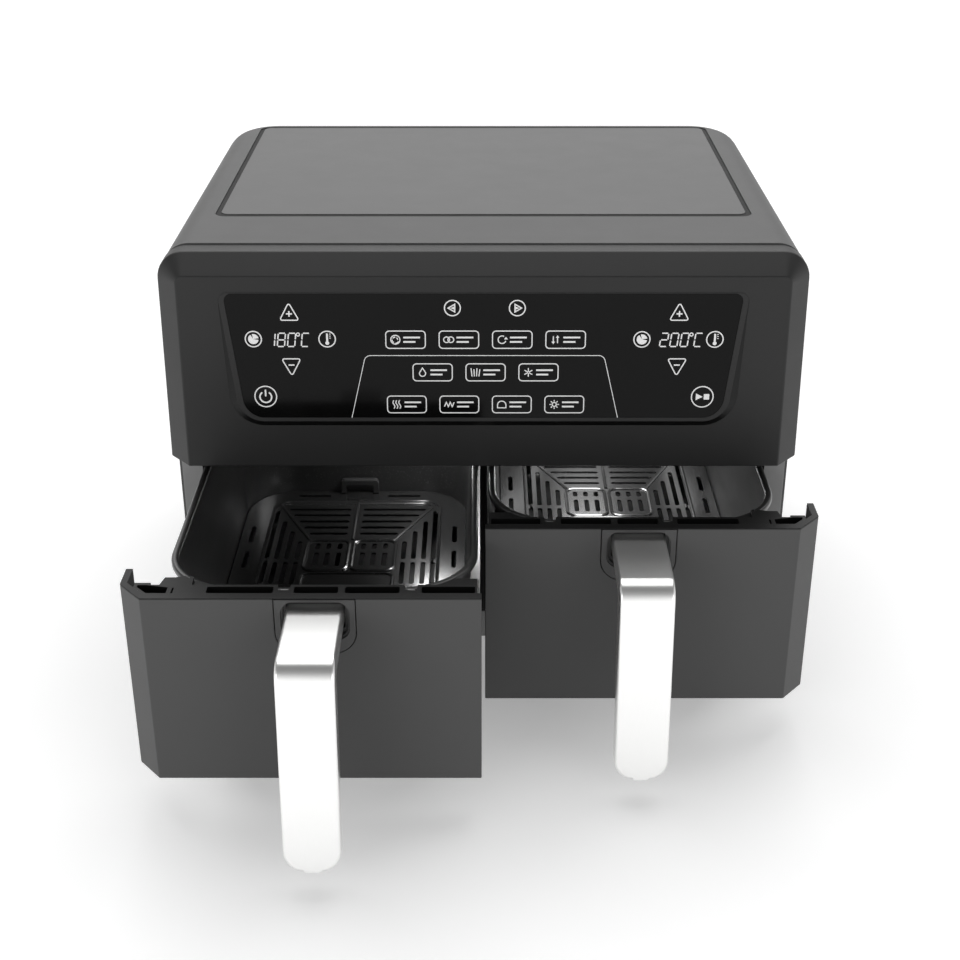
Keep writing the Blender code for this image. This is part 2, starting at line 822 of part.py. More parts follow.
def heater_coil(side_name, side, frame):
    """A flat spiral of round tube, wound out from the middle, whose end turns up to the ceiling."""
    name = f"{side_name}_heater_coil"
    curve = bpy.data.curves.new(name, "CURVE")
    curve.dimensions = "3D"
    curve.bevel_depth = COIL_TUBE
    curve.bevel_resolution = 2
    curve.use_fill_caps = True
    steps = round(COIL_TURNS * 18)
    places = []
    for step in range(steps + 1):
        turns = step / steps * COIL_TURNS
        radius = COIL_RADIUS - COIL_PITCH * (COIL_TURNS - turns)
        angle = 2 * math.pi * turns * side
        arm = Vector((math.cos(angle), math.sin(angle), 0.0))
        places.append(Vector((side * ZONE_X, ZONE_Y, COIL_HEIGHT)) + radius * arm)
    end = places[-1]
    along = (end - places[-2]).normalized()
    for step in range(1, 4):
        angle = math.pi / 2 * step / 3
        rise = Vector((0.0, 0.0, 1.0 - math.cos(angle)))
        places.append(end + COIL_ELBOW * (along * math.sin(angle) + rise))
    places.append(Vector((*places[-1].xy, LINER_TOP - LINER_WALL - FIT)))
    line = curve.splines.new("POLY")
    line.points.add(len(places) - 1)
    for point, place in zip(line.points, places):
        point.co = (*place, 1.0)
    curve.materials.append(HEATER_STEEL)
    made = bpy.data.objects.new(name, curve)
    made.parent = frame
    PARTS.objects.link(made)


def heater_guard(side_name, side, frame):
    """A slotted plate under the coil, which reaches from one side of the cavity to the other."""
    name = f"{side_name}_heater_guard"
    near, far = span(side, LINER_SPLIT + LINER_WALL + FIT, LINER_OUTER - LINER_WALL - FIT)
    middle = ((near + far) / 2, ZONE_Y)
    outline = rectangle((far - near) / 2, GUARD_HALF, GUARD_CORNER, 4, middle)
    guard = part(
        name,
        prism(name, outline, 2, GUARD_HEIGHT, GUARD_HEIGHT + GUARD_THICK),
        STEEL_SHEET,
        frame,
    )
    pitch = 2 * GUARD_HALF / (GUARD_SLOTS + 1)
    reach = GUARD_HALF - pitch
    slots = []
    for index in range(GUARD_SLOTS):
        y = ZONE_Y + (index - (GUARD_SLOTS - 1) / 2) * pitch
        low = (side * ZONE_X - reach, y - GUARD_SLOT_WIDTH / 2, GUARD_HEIGHT - GUARD_THICK)
        high = (side * ZONE_X + reach, y + GUARD_SLOT_WIDTH / 2, GUARD_HEIGHT + 2 * GUARD_THICK)
        slots.append((low, high))
    cut(guard, boxes(f"{side_name}_guard_slots", slots), frame)


def fan_wheel(name, centre, low, depth, radius, blades, finish, frame):
    """A hub with flat blades round it, on one thin disc, with a bore for the shaft."""
    disc = depth * DISC_DEPTH
    hub = radius * WHEEL_HUB
    plate = cylinder(name, radius * WHEEL_DISC, (0.0, 0.0), 0.0, disc)
    wheel = part(name, plate, finish, frame)
    wheel.location = (*centre, low)
    cut(wheel, cylinder(f"{name}_hub", hub, (0.0, 0.0), disc / 2, depth, segments=16), wheel, "UNION")
    vanes = bmesh.new()
    for blade in range(blades):
        turn = Matrix.Rotation(2 * math.pi * blade / blades, 4, "Z")
        low_corner = (radius * BLADE_ROOT, -disc / 2, disc / 2)
        made = add_box(vanes, low_corner, (radius, disc / 2, depth * BLADE_RISE))
        bmesh.ops.transform(vanes, matrix=turn, verts=made["verts"])
    cut(wheel, finish_mesh(vanes, f"{name}_blades"), wheel, "UNION")
    bore = SHAFT_RADIUS + FIT
    cut(wheel, cylinder(f"{name}_bore", bore, (0.0, 0.0), -depth, 2 * depth, segments=16), wheel)


def fan_set(side_name, side, frame):
    """Motor on the cavity's ceiling, its shaft, the fan below it and the cooling fan above it."""
    centre = (side * ZONE_X, ZONE_Y)
    motor_low = LINER_TOP + FIT
    motor_high = motor_low + MOTOR_HEIGHT
    cooler_low = motor_high + SLIDE
    shaft_low = FAN_HEIGHT - FIT
    shaft_high = cooler_low + COOLER_DEPTH + FIT
    motor_name = f"{side_name}_fan_motor"
    levels = [
        (MOTOR_RADIUS, motor_low),
        (MOTOR_RADIUS, motor_high - MOTOR_SHOULDER),
        (MOTOR_RADIUS - MOTOR_SHOULDER, motor_high),
    ]
    motor = part(motor_name, stack(motor_name, levels, centre), MOTOR_STEEL, frame, smooth=True)
    bore = SHAFT_RADIUS + BORE_PLAY
    low, high = motor_low - MOTOR_HEIGHT, motor_high + MOTOR_HEIGHT
    cut(motor, cylinder(f"{motor_name}_bore", bore, centre, low, high, segments=16), frame)
    turning = empty(f"{side_name}_fan_axis", (*centre, 0.0), frame)
    shaft_name = f"{side_name}_fan_shaft"
    shaft = cylinder(shaft_name, SHAFT_RADIUS, (0.0, 0.0), shaft_low, shaft_high, segments=16)
    part(shaft_name, shaft, STEEL_BRIGHT, turning, smooth=True)
    fan_wheel(
        f"{side_name}_convection_fan",
        (0.0, 0.0),
        FAN_HEIGHT,
        FAN_DEPTH,
        FAN_RADIUS,
        FAN_BLADES,
        STEEL_SHEET,
        turning,
    )
    fan_wheel(
        f"{side_name}_cooling_fan",
        (0.0, 0.0),
        cooler_low,
        COOLER_DEPTH,
        COOLER_RADIUS,
        COOLER_BLADES,
        DARK_PLASTIC,
        turning,
    )


def temperature_probe(side_name, side, frame):
    name = f"{side_name}_temperature_probe"
    outside = LINER_BACK + FIT
    levels = [
        (PROBE_RADIUS, LINER_BACK - PROBE_LENGTH),
        (PROBE_RADIUS, outside),
        (PROBE_FLANGE, outside),
        (PROBE_FLANGE, outside + PROBE_RADIUS),
    ]
    mesh = stack(name, levels, (side * ZONE_X, COIL_HEIGHT), axis=1, steps=12)
    part(name, mesh, STEEL_BRIGHT, frame, smooth=True)


# Electrical parts in the head


def control_board(frame):
    half = FACE_HALF - CONTROL_BOARD_INSET
    low = (-half, CONTROL_BOARD_BACK - BOARD_THICK, GLASS_BOTTOM)
    high = (half, CONTROL_BOARD_BACK, FACE_TOP - CONTROL_BOARD_MARGIN)
    part("control_board", box("control_board", low, high), BOARD_GREEN, frame)


def display_module(side_name, side, frame):
    name = f"{side_name}_display"
    back = CONTROL_BOARD_BACK - BOARD_THICK - FIT
    near, far = span(side, DISPLAY_X - DISPLAY_HALF, DISPLAY_X + DISPLAY_HALF)
    low = (near, back - DISPLAY_DEPTH, DISPLAY_Z - DISPLAY_TALL)
    high = (far, back, DISPLAY_Z + DISPLAY_TALL)
    part(name, box(name, low, high), DISPLAY_BLACK, frame)


def power_board(frame):
    """The board between the two fan motors, on four posts, with a transformer, relay and capacitor."""
    low = LINER_TOP + POWER_LIFT
    top = low + BOARD_THICK
    inside = top - BOARD_THICK / 2
    front = ZONE_Y - POWER_LENGTH / 2
    back = front + POWER_LENGTH
    plate = box("power_board", (-POWER_HALF, front, low), (POWER_HALF, back, top))
    board = part("power_board", plate, BOARD_GREEN, frame)
    cell = 2 * POWER_HALF / len(BLOCK_HEIGHTS)
    blocks = []
    for index, tall in enumerate(BLOCK_HEIGHTS):
        near = index * cell - POWER_HALF + BLOCK_GAP / 2
        start = front + BLOCK_START
        far_corner = (near + cell - BLOCK_GAP, start + BLOCK_LENGTH, top + tall)
        blocks.append(((near, start, inside), far_corner))
    cut(board, boxes("board_blocks", blocks), frame, "UNION")
    posts = []
    for x in (POWER_POST_INSET - POWER_HALF, POWER_HALF - POWER_POST_INSET):
        for y in (front + POWER_POST_INSET, back - POWER_POST_INSET):
            half = POWER_POST / 2
            posts.append(((x - half, y - half, LINER_TOP + FIT), (x + half, y + half, inside)))
    cut(board, boxes("board_posts", posts), frame, "UNION")


def drawer_switch(side_name, side, frame):
    """The switch above each drawer's front edge, which tells the machine that the drawer is shut."""
    name = f"{side_name}_drawer_switch"
    back = FASCIA_DEPTH
    near, far = span(side, ZONE_X - SWITCH_WIDTH / 2, ZONE_X + SWITCH_WIDTH / 2)
    low = (near, back - SWITCH_DEPTH, FASCIA_WALL + FIT)
    high = (far, back, FASCIA_WALL + FIT + SWITCH_HEIGHT)
    part(name, box(name, low, high), DARK_PLASTIC, frame)


# Drawers


def chamfer_offset(distance):
    """Where the front panel's outer chamfer lies after moving in by a wall: x at y = 0."""
    length = math.hypot(CHAMFER_SIDE, CHAMFER_DEPTH)
    return FACE_HALF - distance * length / CHAMFER_DEPTH


def drawer_front(side_name, side, frame):
    """The visible front: a flat panel, a chamfer at its outer edge and a wing along the housing."""
    slope = CHAMFER_DEPTH / CHAMFER_SIDE
    inner_line = chamfer_offset(WING_THICK)
    wing_inside = HEAD_HALF - WING_THICK
    plan = [
        (DRAWER_SPLIT, 0.0),
        (FACE_HALF, 0.0),
        (HEAD_HALF, CHAMFER_DEPTH),
        (HEAD_HALF, WING_BACK),
        (wing_inside, WING_BACK),
        (wing_inside, (wing_inside - inner_line) * slope),
        (inner_line + PANEL_THICK / slope, PANEL_THICK),
        (DRAWER_SPLIT, PANEL_THICK),
    ]
    outline = [(side * (x - ZONE_X), y) for x, y in plan]
    name = f"{side_name}_drawer_front"
    panel = part(name, prism(name, outline, 2, DRAWER_BOTTOM, -SEAM_GAP), FRONT_PLASTIC, frame)
    notch = hub_shape(f"{side_name}_front_notch", FIT, HUB_CORNER, -PANEL_THICK, 2 * PANEL_THICK)
    cut(panel, notch, frame)


def bracket_pockets(side):
    """The open pockets along the bracket's top, sized in fixed proportions to fill its length."""
    start = PAN_SPLIT + POCKET_END
    end = HEAD_HALF - BRACKET_SIDE - POCKET_OUTER_END
    pieces = list(POCKET_LENGTHS) + list(POCKET_WEBS)
    unit = (end - start) / sum(pieces)
    pockets = []
    place = start
    for index, length in enumerate(POCKET_LENGTHS):
        near, far = span(side, place - ZONE_X, place + length * unit - ZONE_X)
        pockets.append(
            (
                (near, POCKET_FRONT, BRACKET_TOP - POCKET_DEEP),
                (far, POCKET_BACK, BRACKET_TOP + POCKET_DEEP),
            )
        )
        if index < len(POCKET_WEBS):
            place += (length + POCKET_WEBS[index]) * unit
    return pockets


def drawer_bracket(side_name, side, frame):
    """The moulding behind the front: it carries the pan's rim and the handle's hub."""
    front = PANEL_THICK + FIT
    bottom = DRAWER_BOTTOM + BRACKET_DROP
    ear_top = PAN_TOP
    profile = [
        (front, BRACKET_TOP),
        (BRACKET_BACK, BRACKET_TOP),
        (BRACKET_BACK, ear_top),
        (BRACKET_BACK + EAR_DEPTH, ear_top),
        (BRACKET_BACK + EAR_DEPTH, ear_top - EAR_THICK),
        (BRACKET_BACK, ear_top - EAR_THICK),
        (BRACKET_BACK, BRACKET_TOP - BRACKET_DEEP),
        (front + BRACKET_WALL, BRACKET_TOP - BRACKET_DEEP),
        (front + BRACKET_WALL, bottom),
        (front, bottom),
    ]
    name = f"{side_name}_drawer_bracket"
    near, far = span(side, PAN_SPLIT - ZONE_X, HEAD_HALF - BRACKET_SIDE - ZONE_X)
    bracket = part(name, prism(name, profile, 0, near, far), DARK_PLASTIC, frame)
    cut(bracket, boxes(f"{side_name}_pockets", bracket_pockets(side)), frame)
    pan_hole = rectangle(
        PAN_HALF + FIT,
        PAN_HALF_LENGTH + FIT,
        PAN_CORNER + FIT,
        8,
        (0.0, PAN_MIDDLE),
    )
    cut(
        bracket,
        prism(f"{side_name}_pan_hole", pan_hole, 2, PAN_TOP - PAN_RIM_DROP, HEAD_HEIGHT),
        frame,
    )
    cut(bracket, hub_shape(f"{side_name}_bracket_notch", FIT, HUB_CORNER, -FIT, PAN_FRONT), frame)


def pan_ring(shrink, height, steps=5):
    corner = PAN_CORNER - shrink
    half = PAN_HALF - shrink
    half_length = PAN_HALF_LENGTH - shrink
    outline = rectangle(half, half_length, corner, steps, (0.0, PAN_MIDDLE))
    return [(x, y, height) for x, y in outline]


def pan(side_name, frame):
    """A deep pan: a thick rim, walls that draw in towards the bottom and a ledge for the tray."""
    inner = PAN_RIM_WIDTH
    deep = inner + PAN_DRAFT
    outer = inner - PAN_WALL
    rings = [
        pan_ring(deep + PAN_LEDGE - PAN_WALL, PAN_BOTTOM),
        pan_ring(deep + PAN_LEDGE - PAN_WALL, LEDGE_TOP - 2 * PAN_WALL),
        pan_ring(deep - PAN_WALL, LEDGE_TOP - PAN_WALL),
        pan_ring(outer, PAN_TOP - PAN_RIM_HEIGHT),
        pan_ring(0.0, PAN_TOP - PAN_RIM_HEIGHT),
        pan_ring(0.0, PAN_TOP),
        pan_ring(inner, PAN_TOP),
        pan_ring(deep, LEDGE_TOP),
        pan_ring(deep + PAN_LEDGE, LEDGE_TOP),
        pan_ring(deep + PAN_LEDGE, PAN_BOTTOM + PAN_WALL),
    ]
    name = f"{side_name}_pan"
    part(name, loft(name, rings), PAN_COATING, frame, smooth=True)


# Handles


def hub_shape(name, grow, top, low, high):
    """The hub's outline, grown by a gap, flat at its top and round at its bottom, pulled along Y."""
    half = HUB_HALF + grow
    bottom = -HUB_BOTTOM - grow
    corners = [(-half, bottom), (half, bottom), (half, top), (-half, top)]
    corner = HUB_CORNER + grow
    return prism(name, rounded(corners, [corner, corner, 0, 0], 5), 1, low, high)


def handle_hub(side_name, frame):
    name = f"{side_name}_handle_hub"
    shape = hub_shape(name, 0.0, -SEAM_GAP - FIT, 0.0, HUB_DEPTH)
    hub = part(name, shape, FRONT_PLASTIC, frame)
    recess = rectangle(
        RECESS_HALF,
        (RECESS_BOTTOM - RECESS_TOP) / 2,
        RECESS_CORNER,
        4,
        (0.0, -(RECESS_BOTTOM + RECESS_TOP) / 2),
    )
    cut(hub, prism(f"{name}_recess", recess, 1, -RECESS_DEPTH, RECESS_DEPTH), frame)
    centre = (0.0, screw_height())
    hole = SCREW_RADIUS + FIT
    cut(hub, cylinder(f"{name}_hole", hole, centre, 0.0, 2 * HUB_DEPTH, axis=1, segments=12), frame)
    seat = cylinder(
        f"{name}_seat",
        SCREW_HEAD + FIT,
        centre,
        HUB_DEPTH - SCREW_HEAD_DEPTH - FIT,
        2 * HUB_DEPTH,
        axis=1,
        segments=16,
    )
    cut(hub, seat, frame)


def screw_height():
    return -(HANDLE_ROOT_DROP + STRAP_THICK + GRIP_THICK / 2)


def handle_line(offset, bend):
    """Points (y, z) of the handle's side view, moved in from the steel's outer face by an offset."""
    top = -HANDLE_ROOT_DROP - offset
    lean = Vector((-math.sin(HANDLE_LEAN), -math.cos(HANDLE_LEAN)))
    inward = Vector((math.cos(HANDLE_LEAN), -math.sin(HANDLE_LEAN)))
    end = Vector((-HANDLE_REACH, -HANDLE_DROP)) + inward * offset
    corner = end - lean * ((end.y - top) / lean.y)
    reach = bend * math.tan((math.pi / 2 - HANDLE_LEAN) / 2)
    centre = Vector((corner.x + reach, top - bend))
    line = [Vector((HANDLE_ROOT_BACK, top))]
    steps = 6
    for step in range(steps + 1):
        angle = math.pi / 2 + (math.pi / 2 - HANDLE_LEAN) * step / steps
        line.append(centre + bend * Vector((math.cos(angle), math.sin(angle))))
    for step in range(steps + 1):
        along = HANDLE_END_RADIUS * (1 - math.sin(math.pi / 2 * step / steps))
        line.append(end - lean * along)
    return line


def handle_widths():
    """Half widths at each point of the handle's line: full, then round towards the bottom end."""
    steps = 6
    flat = HANDLE_HALF - HANDLE_END_RADIUS
    round_end = [
        flat + HANDLE_END_RADIUS * math.cos(math.pi / 2 * step / steps)
        for step in range(steps + 1)
    ]
    return [HANDLE_HALF] * (steps + 2) + round_end


def handle_body(name, near, far, near_bend, far_bend, inset):
    rings = []
    lines = zip(handle_line(near, near_bend), handle_line(far, far_bend), handle_widths())
    for outer, inner, width in lines:
        half = width - inset
        rings.append(
            [
                (-half, outer.x, outer.y),
                (half, outer.x, outer.y),
                (half, inner.x, inner.y),
                (-half, inner.x, inner.y),
            ]
        )
    return loft(name, rings)


def handle_strap(side_name, frame):
    name = f"{side_name}_handle_strap"
    mesh = handle_body(name, 0.0, STRAP_THICK, HANDLE_BEND, HANDLE_BEND - STRAP_THICK, 0.0)
    part(name, mesh, HANDLE_STEEL, frame, smooth=True)


def handle_grip(side_name, frame):
    name = f"{side_name}_handle_grip"
    near = STRAP_THICK + FIT
    mesh = handle_body(
        name,
        near,
        near + GRIP_THICK,
        HANDLE_BEND - near,
        GRIP_BEND,
        GRIP_INSET,
    )
    grip = part(name, mesh, DARK_PLASTIC, frame, smooth=True)
    deep = HUB_DEPTH - SCREW_HEAD_DEPTH - SCREW_LENGTH - SLIDE
    bore = cylinder(
        f"{name}_bore",
        SCREW_RADIUS + FIT,
        (0.0, screw_height()),
        deep,
        HUB_DEPTH,
        axis=1,
        segments=12,
    )
    cut(grip, bore, frame)


def handle_screw(side_name, frame):
    name = f"{side_name}_handle_screw"
    seat = HUB_DEPTH - SCREW_HEAD_DEPTH
    levels = [
        (SCREW_RADIUS, seat - SCREW_LENGTH),
        (SCREW_RADIUS, seat),
        (SCREW_HEAD, seat),
        (SCREW_HEAD, seat + SCREW_HEAD_DEPTH),
    ]
    mesh = stack(name, levels, (0.0, screw_height()), axis=1, steps=12)
    part(name, mesh, STEEL_BRIGHT, frame, smooth=True)


# Crisper trays


def tray_slots():
    """Slots in the tray: columns beside the middle, columns in the middle and rows at both ends."""
    half = PAN_HALF - TRAY_SHRINK - TRAY_BORDER
    half_length = PAN_HALF_LENGTH - TRAY_SHRINK - TRAY_BORDER
    middle_length = half_length - (half - MIDDLE_HALF)
    slots = []

    def add(x, y, half_x, half_y):
        low = (x - half_x, PAN_MIDDLE + y - half_y, TRAY_BOTTOM - TRAY_THICK)
        high = (x + half_x, PAN_MIDDLE + y + half_y, TRAY_TOP + TRAY_THICK)
        slots.append((low, high))

    pitch = SLOT_LENGTH + SLOT_GAP
    rows = int((2 * middle_length - SLOT_GAP) // pitch)
    columns = [MIDDLE_START + MIDDLE_PITCH * column for column in range(MIDDLE_COLUMNS)]
    columns += [MIDDLE_HALF + SLOT_INSET + SLOT_PITCH * column for column in range(SIDE_COLUMNS)]
    for mirror in (-1, 1):
        for x in columns:
            for row in range(rows):
                y = (row - (rows - 1) / 2) * pitch
                add(mirror * x, y, SLOT_WIDTH / 2, SLOT_LENGTH / 2)
        for row in range(END_ROWS):
            y = middle_length + SLOT_INSET + SLOT_PITCH * row
            reach = (MIDDLE_HALF + SLOT_PITCH * row - SLOT_GAP) / 2
            add(mirror * (reach + SLOT_GAP / 2), y, reach, SLOT_WIDTH / 2)
            add(mirror * (reach + SLOT_GAP / 2), -y, reach, SLOT_WIDTH / 2)
    return slots


def crisper_tray(side_name, frame):
    name = f"{side_name}_crisper_tray"
    half = PAN_HALF - TRAY_SHRINK
    half_length = PAN_HALF_LENGTH - TRAY_SHRINK
    outline = rectangle(half, half_length, PAN_CORNER - TRAY_SHRINK, 6, (0.0, PAN_MIDDLE))
    tray = part(name, prism(name, outline, 2, TRAY_BOTTOM, TRAY_TOP), TRAY_COATING, frame)
    cut(tray, boxes(f"{side_name}_tray_slots", tray_slots()), frame)


def tray_bumpers(side_name, frame):
    """The two soft clips that stand on the tray's ends and hold it against the pan."""
    half_length = PAN_HALF_LENGTH - TRAY_SHRINK
    for end, mirror in (("front", -1), ("rear", 1)):
        name = f"{side_name}_tray_{end}_bumper"
        outer = PAN_MIDDLE + mirror * half_length
        inner = outer - mirror * BUMPER_THICK
        near, far = sorted((inner, outer))
        low = (-BUMPER_HALF, near, TRAY_TOP + FIT)
        high = (BUMPER_HALF, far, TRAY_TOP + FIT + BUMPER_HEIGHT)
        bumper = part(name, box(name, low, high), RUBBER, frame)
        slot = box(
            f"{name}_slot",
            (-BUMPER_SLOT_HALF, near - BUMPER_THICK, TRAY_TOP - FIT),
            (BUMPER_SLOT_HALF, far + BUMPER_THICK, TRAY_TOP + BUMPER_SLOT_HEIGHT),
        )
        cut(bumper, slot, frame)


def build():
    machine = empty("machine_frame", (0.0, WORLD_SHIFT, -FLOOR))
    outer_housing(machine)
    top_plate(machine)
    fascia(machine)
    control_bezel(machine)
    control_glass(machine)
    control_board(machine)
    power_board(machine)
    base_plate(machine)
    feet(machine)
    rear_cover(machine)
    cord_inlet(machine)
    front_frame(machine)
    centre_post(machine)
    cavity_floor(machine)
    for side_name, side in SIDES.items():
        cavity_liner(side_name, side, machine)
        heater_coil(side_name, side, machine)
        heater_guard(side_name, side, machine)
        fan_set(side_name, side, machine)
        temperature_probe(side_name, side, machine)
        display_module(side_name, side, machine)
        drawer_switch(side_name, side, machine)
        place = (side * ZONE_X, -OPEN[side_name], 0.0)
        drawer = empty(f"{side_name}_drawer_frame", place, machine)
        drawer_front(side_name, side, drawer)
        drawer_bracket(side_name, side, drawer)
        pan(side_name, drawer)
        handle_hub(side_name, drawer)
        handle_strap(side_name, drawer)
        handle_grip(side_name, drawer)
        handle_screw(side_name, drawer)
        tray = empty(f"{side_name}_tray_frame", (0.0, 0.0, 0.0), drawer)
        crisper_tray(side_name, tray)
        tray_bumpers(side_name, tray)


clear_scene()
PARTS = collection("air_fryer")
CUTTERS = collection("cutters")
BODY_PLASTIC = material("grey_body_plastic", (0.20, 0.20, 0.20), 0.5)
TOP_METAL = material("grey_top_plate", (0.17, 0.17, 0.17), 0.45)
HEAD_PLASTIC = material("charcoal_head_plastic", (0.05, 0.05, 0.05), 0.5)
GLOSS_PLASTIC = material("black_bezel_plastic", (0.02, 0.02, 0.02), 0.35)
GLASS = material("black_glass", (0.008, 0.008, 0.008), 0.08)
FRONT_PLASTIC = material("charcoal_front_plastic", (0.09, 0.09, 0.09), 0.5)
FRAME_PLASTIC = material("light_grey_frame", (0.30, 0.30, 0.30), 0.5)
DARK_PLASTIC = material("black_plastic", (0.02, 0.02, 0.02), 0.5)
PAN_COATING = material("pan_coating", (0.015, 0.015, 0.015), 0.35)
TRAY_COATING = material("tray_coating", (0.012, 0.012, 0.012), 0.25)
HANDLE_STEEL = material("satin_steel", (0.70, 0.70, 0.70), 0.3, 1.0)
STEEL_SHEET = material("steel_sheet", (0.45, 0.45, 0.45), 0.4, 1.0)
STEEL_BRIGHT = material("bright_steel", (0.60, 0.60, 0.60), 0.25, 1.0)
HEATER_STEEL = material("heater_tube", (0.12, 0.12, 0.12), 0.45, 1.0)
MOTOR_STEEL = material("motor_can", (0.35, 0.35, 0.36), 0.4, 1.0)
BOARD_GREEN = material("board_green", (0.02, 0.12, 0.05), 0.5)
DISPLAY_BLACK = material("display_black", (0.01, 0.01, 0.01), 0.2)
RUBBER = material("black_rubber", (0.02, 0.02, 0.02), 0.8)
build()
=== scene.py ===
"""Looks of a two-drawer countertop air fryer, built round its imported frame.

Sizes are metres. Shapes are drawn in one of two frames. The machine's has x = 0 on the middle
plane, y = 0 on the control face and z = 0 on the seam under the control head. Each drawer's has
x = 0 on the middle of its pan, y = 0 on its front and the same z. The frame's boxes say where both
of them lie.
"""

import math

import bmesh
import bpy
from mathutils import Matrix, Vector


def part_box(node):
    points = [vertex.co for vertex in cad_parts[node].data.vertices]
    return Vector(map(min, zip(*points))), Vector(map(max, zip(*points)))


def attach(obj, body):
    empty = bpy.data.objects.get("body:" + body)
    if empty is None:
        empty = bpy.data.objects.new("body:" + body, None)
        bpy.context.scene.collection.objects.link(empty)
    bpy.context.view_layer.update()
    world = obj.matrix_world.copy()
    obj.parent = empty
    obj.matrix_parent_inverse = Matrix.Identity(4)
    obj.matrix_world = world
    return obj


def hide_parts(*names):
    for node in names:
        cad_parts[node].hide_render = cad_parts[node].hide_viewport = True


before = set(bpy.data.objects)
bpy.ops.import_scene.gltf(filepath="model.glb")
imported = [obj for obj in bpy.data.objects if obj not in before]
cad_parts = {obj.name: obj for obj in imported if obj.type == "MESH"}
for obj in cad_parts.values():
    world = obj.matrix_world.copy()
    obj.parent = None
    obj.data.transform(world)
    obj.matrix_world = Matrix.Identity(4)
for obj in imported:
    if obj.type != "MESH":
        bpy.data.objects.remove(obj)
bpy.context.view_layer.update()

bl_info = {
    "name": "Two-Drawer Air Fryer",
    "version": (1, 0, 0),
    "blender": (4, 5, 0),
    "location": "View3D > Sidebar > Air Fryer",
    "description": "Builds the visible parts of a two-drawer air fryer round its frame",
    "category": "Object",
}

MM = 0.001
SIDES = {"left": -1, "right": 1}
FASCIA_LOW, FASCIA_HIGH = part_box("fascia")
MACHINE = Vector((0.0, FASCIA_LOW.y, FASCIA_LOW.z))
HEAD_HALF = FASCIA_HIGH.x
ROOT = "machine"
FIT = 0.0003
BEYOND = 1.0


def machine_box(node):
    """A node's corners in the machine's frame."""
    low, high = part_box(node)
    return low - MACHINE, high - MACHINE


def drawer_origin(side):
    pan_low, pan_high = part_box(f"{side}_pan")
    front_low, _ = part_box(f"{side}_drawer_front")
    return Vector(((pan_low.x + pan_high.x) / 2, front_low.y, MACHINE.z))


def drawer_box(side, node):
    """A node's corners in its drawer's frame."""
    low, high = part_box(f"{side}_{node}")
    origin = drawer_origin(side)
    return low - origin, high - origin


# Settings


def length(name, description, default):
    return bpy.props.FloatProperty(
        name=name,
        description=description,
        default=default,
        unit="LENGTH",
        precision=4,
    )


def colour(name, description, default):
    return bpy.props.FloatVectorProperty(
        name=name,
        description=description,
        default=default,
        size=3,
        min=0.0,
        max=1.0,
        subtype="COLOR",
    )


class AIRFRYER_PG_head(bpy.types.PropertyGroup):
    chamfer_side: length("Side chamfer", "Width of the chamfer at each side of the face", 0.0137)
    chamfer_top: length("Top chamfer", "Height of the chamfer over the face", 0.0108)
    lean: length("Head lean", "How much each side of the head leans in up to its top", 0.0020)
    body_lean: length("Body lean", "How much each side of the housing leans in", 0.0026)
    rear_edge: length("Rear edge radius", "Radius of the housing's upper rear edge", 0.0050)
    groove_front: length("Groove front", "Width of the groove in front of the top plate", 0.0060)
    plate_inset: length("Plate inset", "How much narrower the plate is on each side", 0.0016)
    chamfer_depth: length("Chamfer depth", "How far back the chamfers reach", 0.0157)
    corner: length("Corner radius", "Radius of the head's upper corners", 0.017)
    face_corner: length("Face corner radius", "Radius of the face's upper corners", 0.0045)
    wall: length("Wall", "Wall of the mouldings", 0.0025)
    rear_corner: length("Rear corner radius", "Radius of the housing's rear corners", 0.035)
    plate_gap: length("Plate gap", "Groove round the top plate", 0.0015)
    plate_corner: length("Plate corner radius", "Radius of the top plate's corners", 0.006)


class AIRFRYER_PG_panel(bpy.types.PropertyGroup):
    glass_corner: length("Glass corner radius", "Radius of the glass's lower corners", 0.0130)
    glass_rise: length("Glass rise", "From the module's lower edge to the visible glass", 0.0025)
    top_grow: length("Glass top width", "How much wider the glass is at each side's top", 0.0016)
    rim: length("Rim", "Raised rim beside the glass", 0.0036)
    chin: length("Chin", "Raised rim under the glass", 0.0026)
    skirt: length("Skirt", "Slope from the raised rim back to the face", 0.0048)
    line: length("Line width", "Width of the printed lines", 0.0007)
    button_width: length("Button width", "Width of one touch key's frame", 0.0240)
    button_height: length("Button height", "Height of one touch key's frame", 0.0110)
    button_pitch: length("Button pitch", "Distance between touch keys in a row", 0.0324)
    row_pitch: length("Row pitch", "Distance between rows of touch keys", 0.0209)


class AIRFRYER_PG_drawer(bpy.types.PropertyGroup):
    panel_thick: length("Front thickness", "Thickness of a drawer's front", 0.006)
    cap: length("Cap height", "Dark strip along the top of a drawer's front", 0.0004)
    wing_thick: length("Wing thickness", "Thickness of the front's wing", 0.004)
    pan_corner: length("Pan corner radius", "Radius of the pan's corners", 0.045)
    rim_width: length("Rim width", "Width of the pan's rim", 0.0047)
    rim_height: length("Rim height", "Height of the pan's rim", 0.004)
    ledge: length("Ledge", "Width of the ledge under the crisper tray", 0.0045)
    pan_wall: length("Pan wall", "Wall of the pan", 0.0011)
    bead: length("Bead radius", "Radius of the ridges pressed into the crisper tray", 0.0014)
    slot_width: length("Slot width", "Width of the crisper tray's slots", 0.0034)


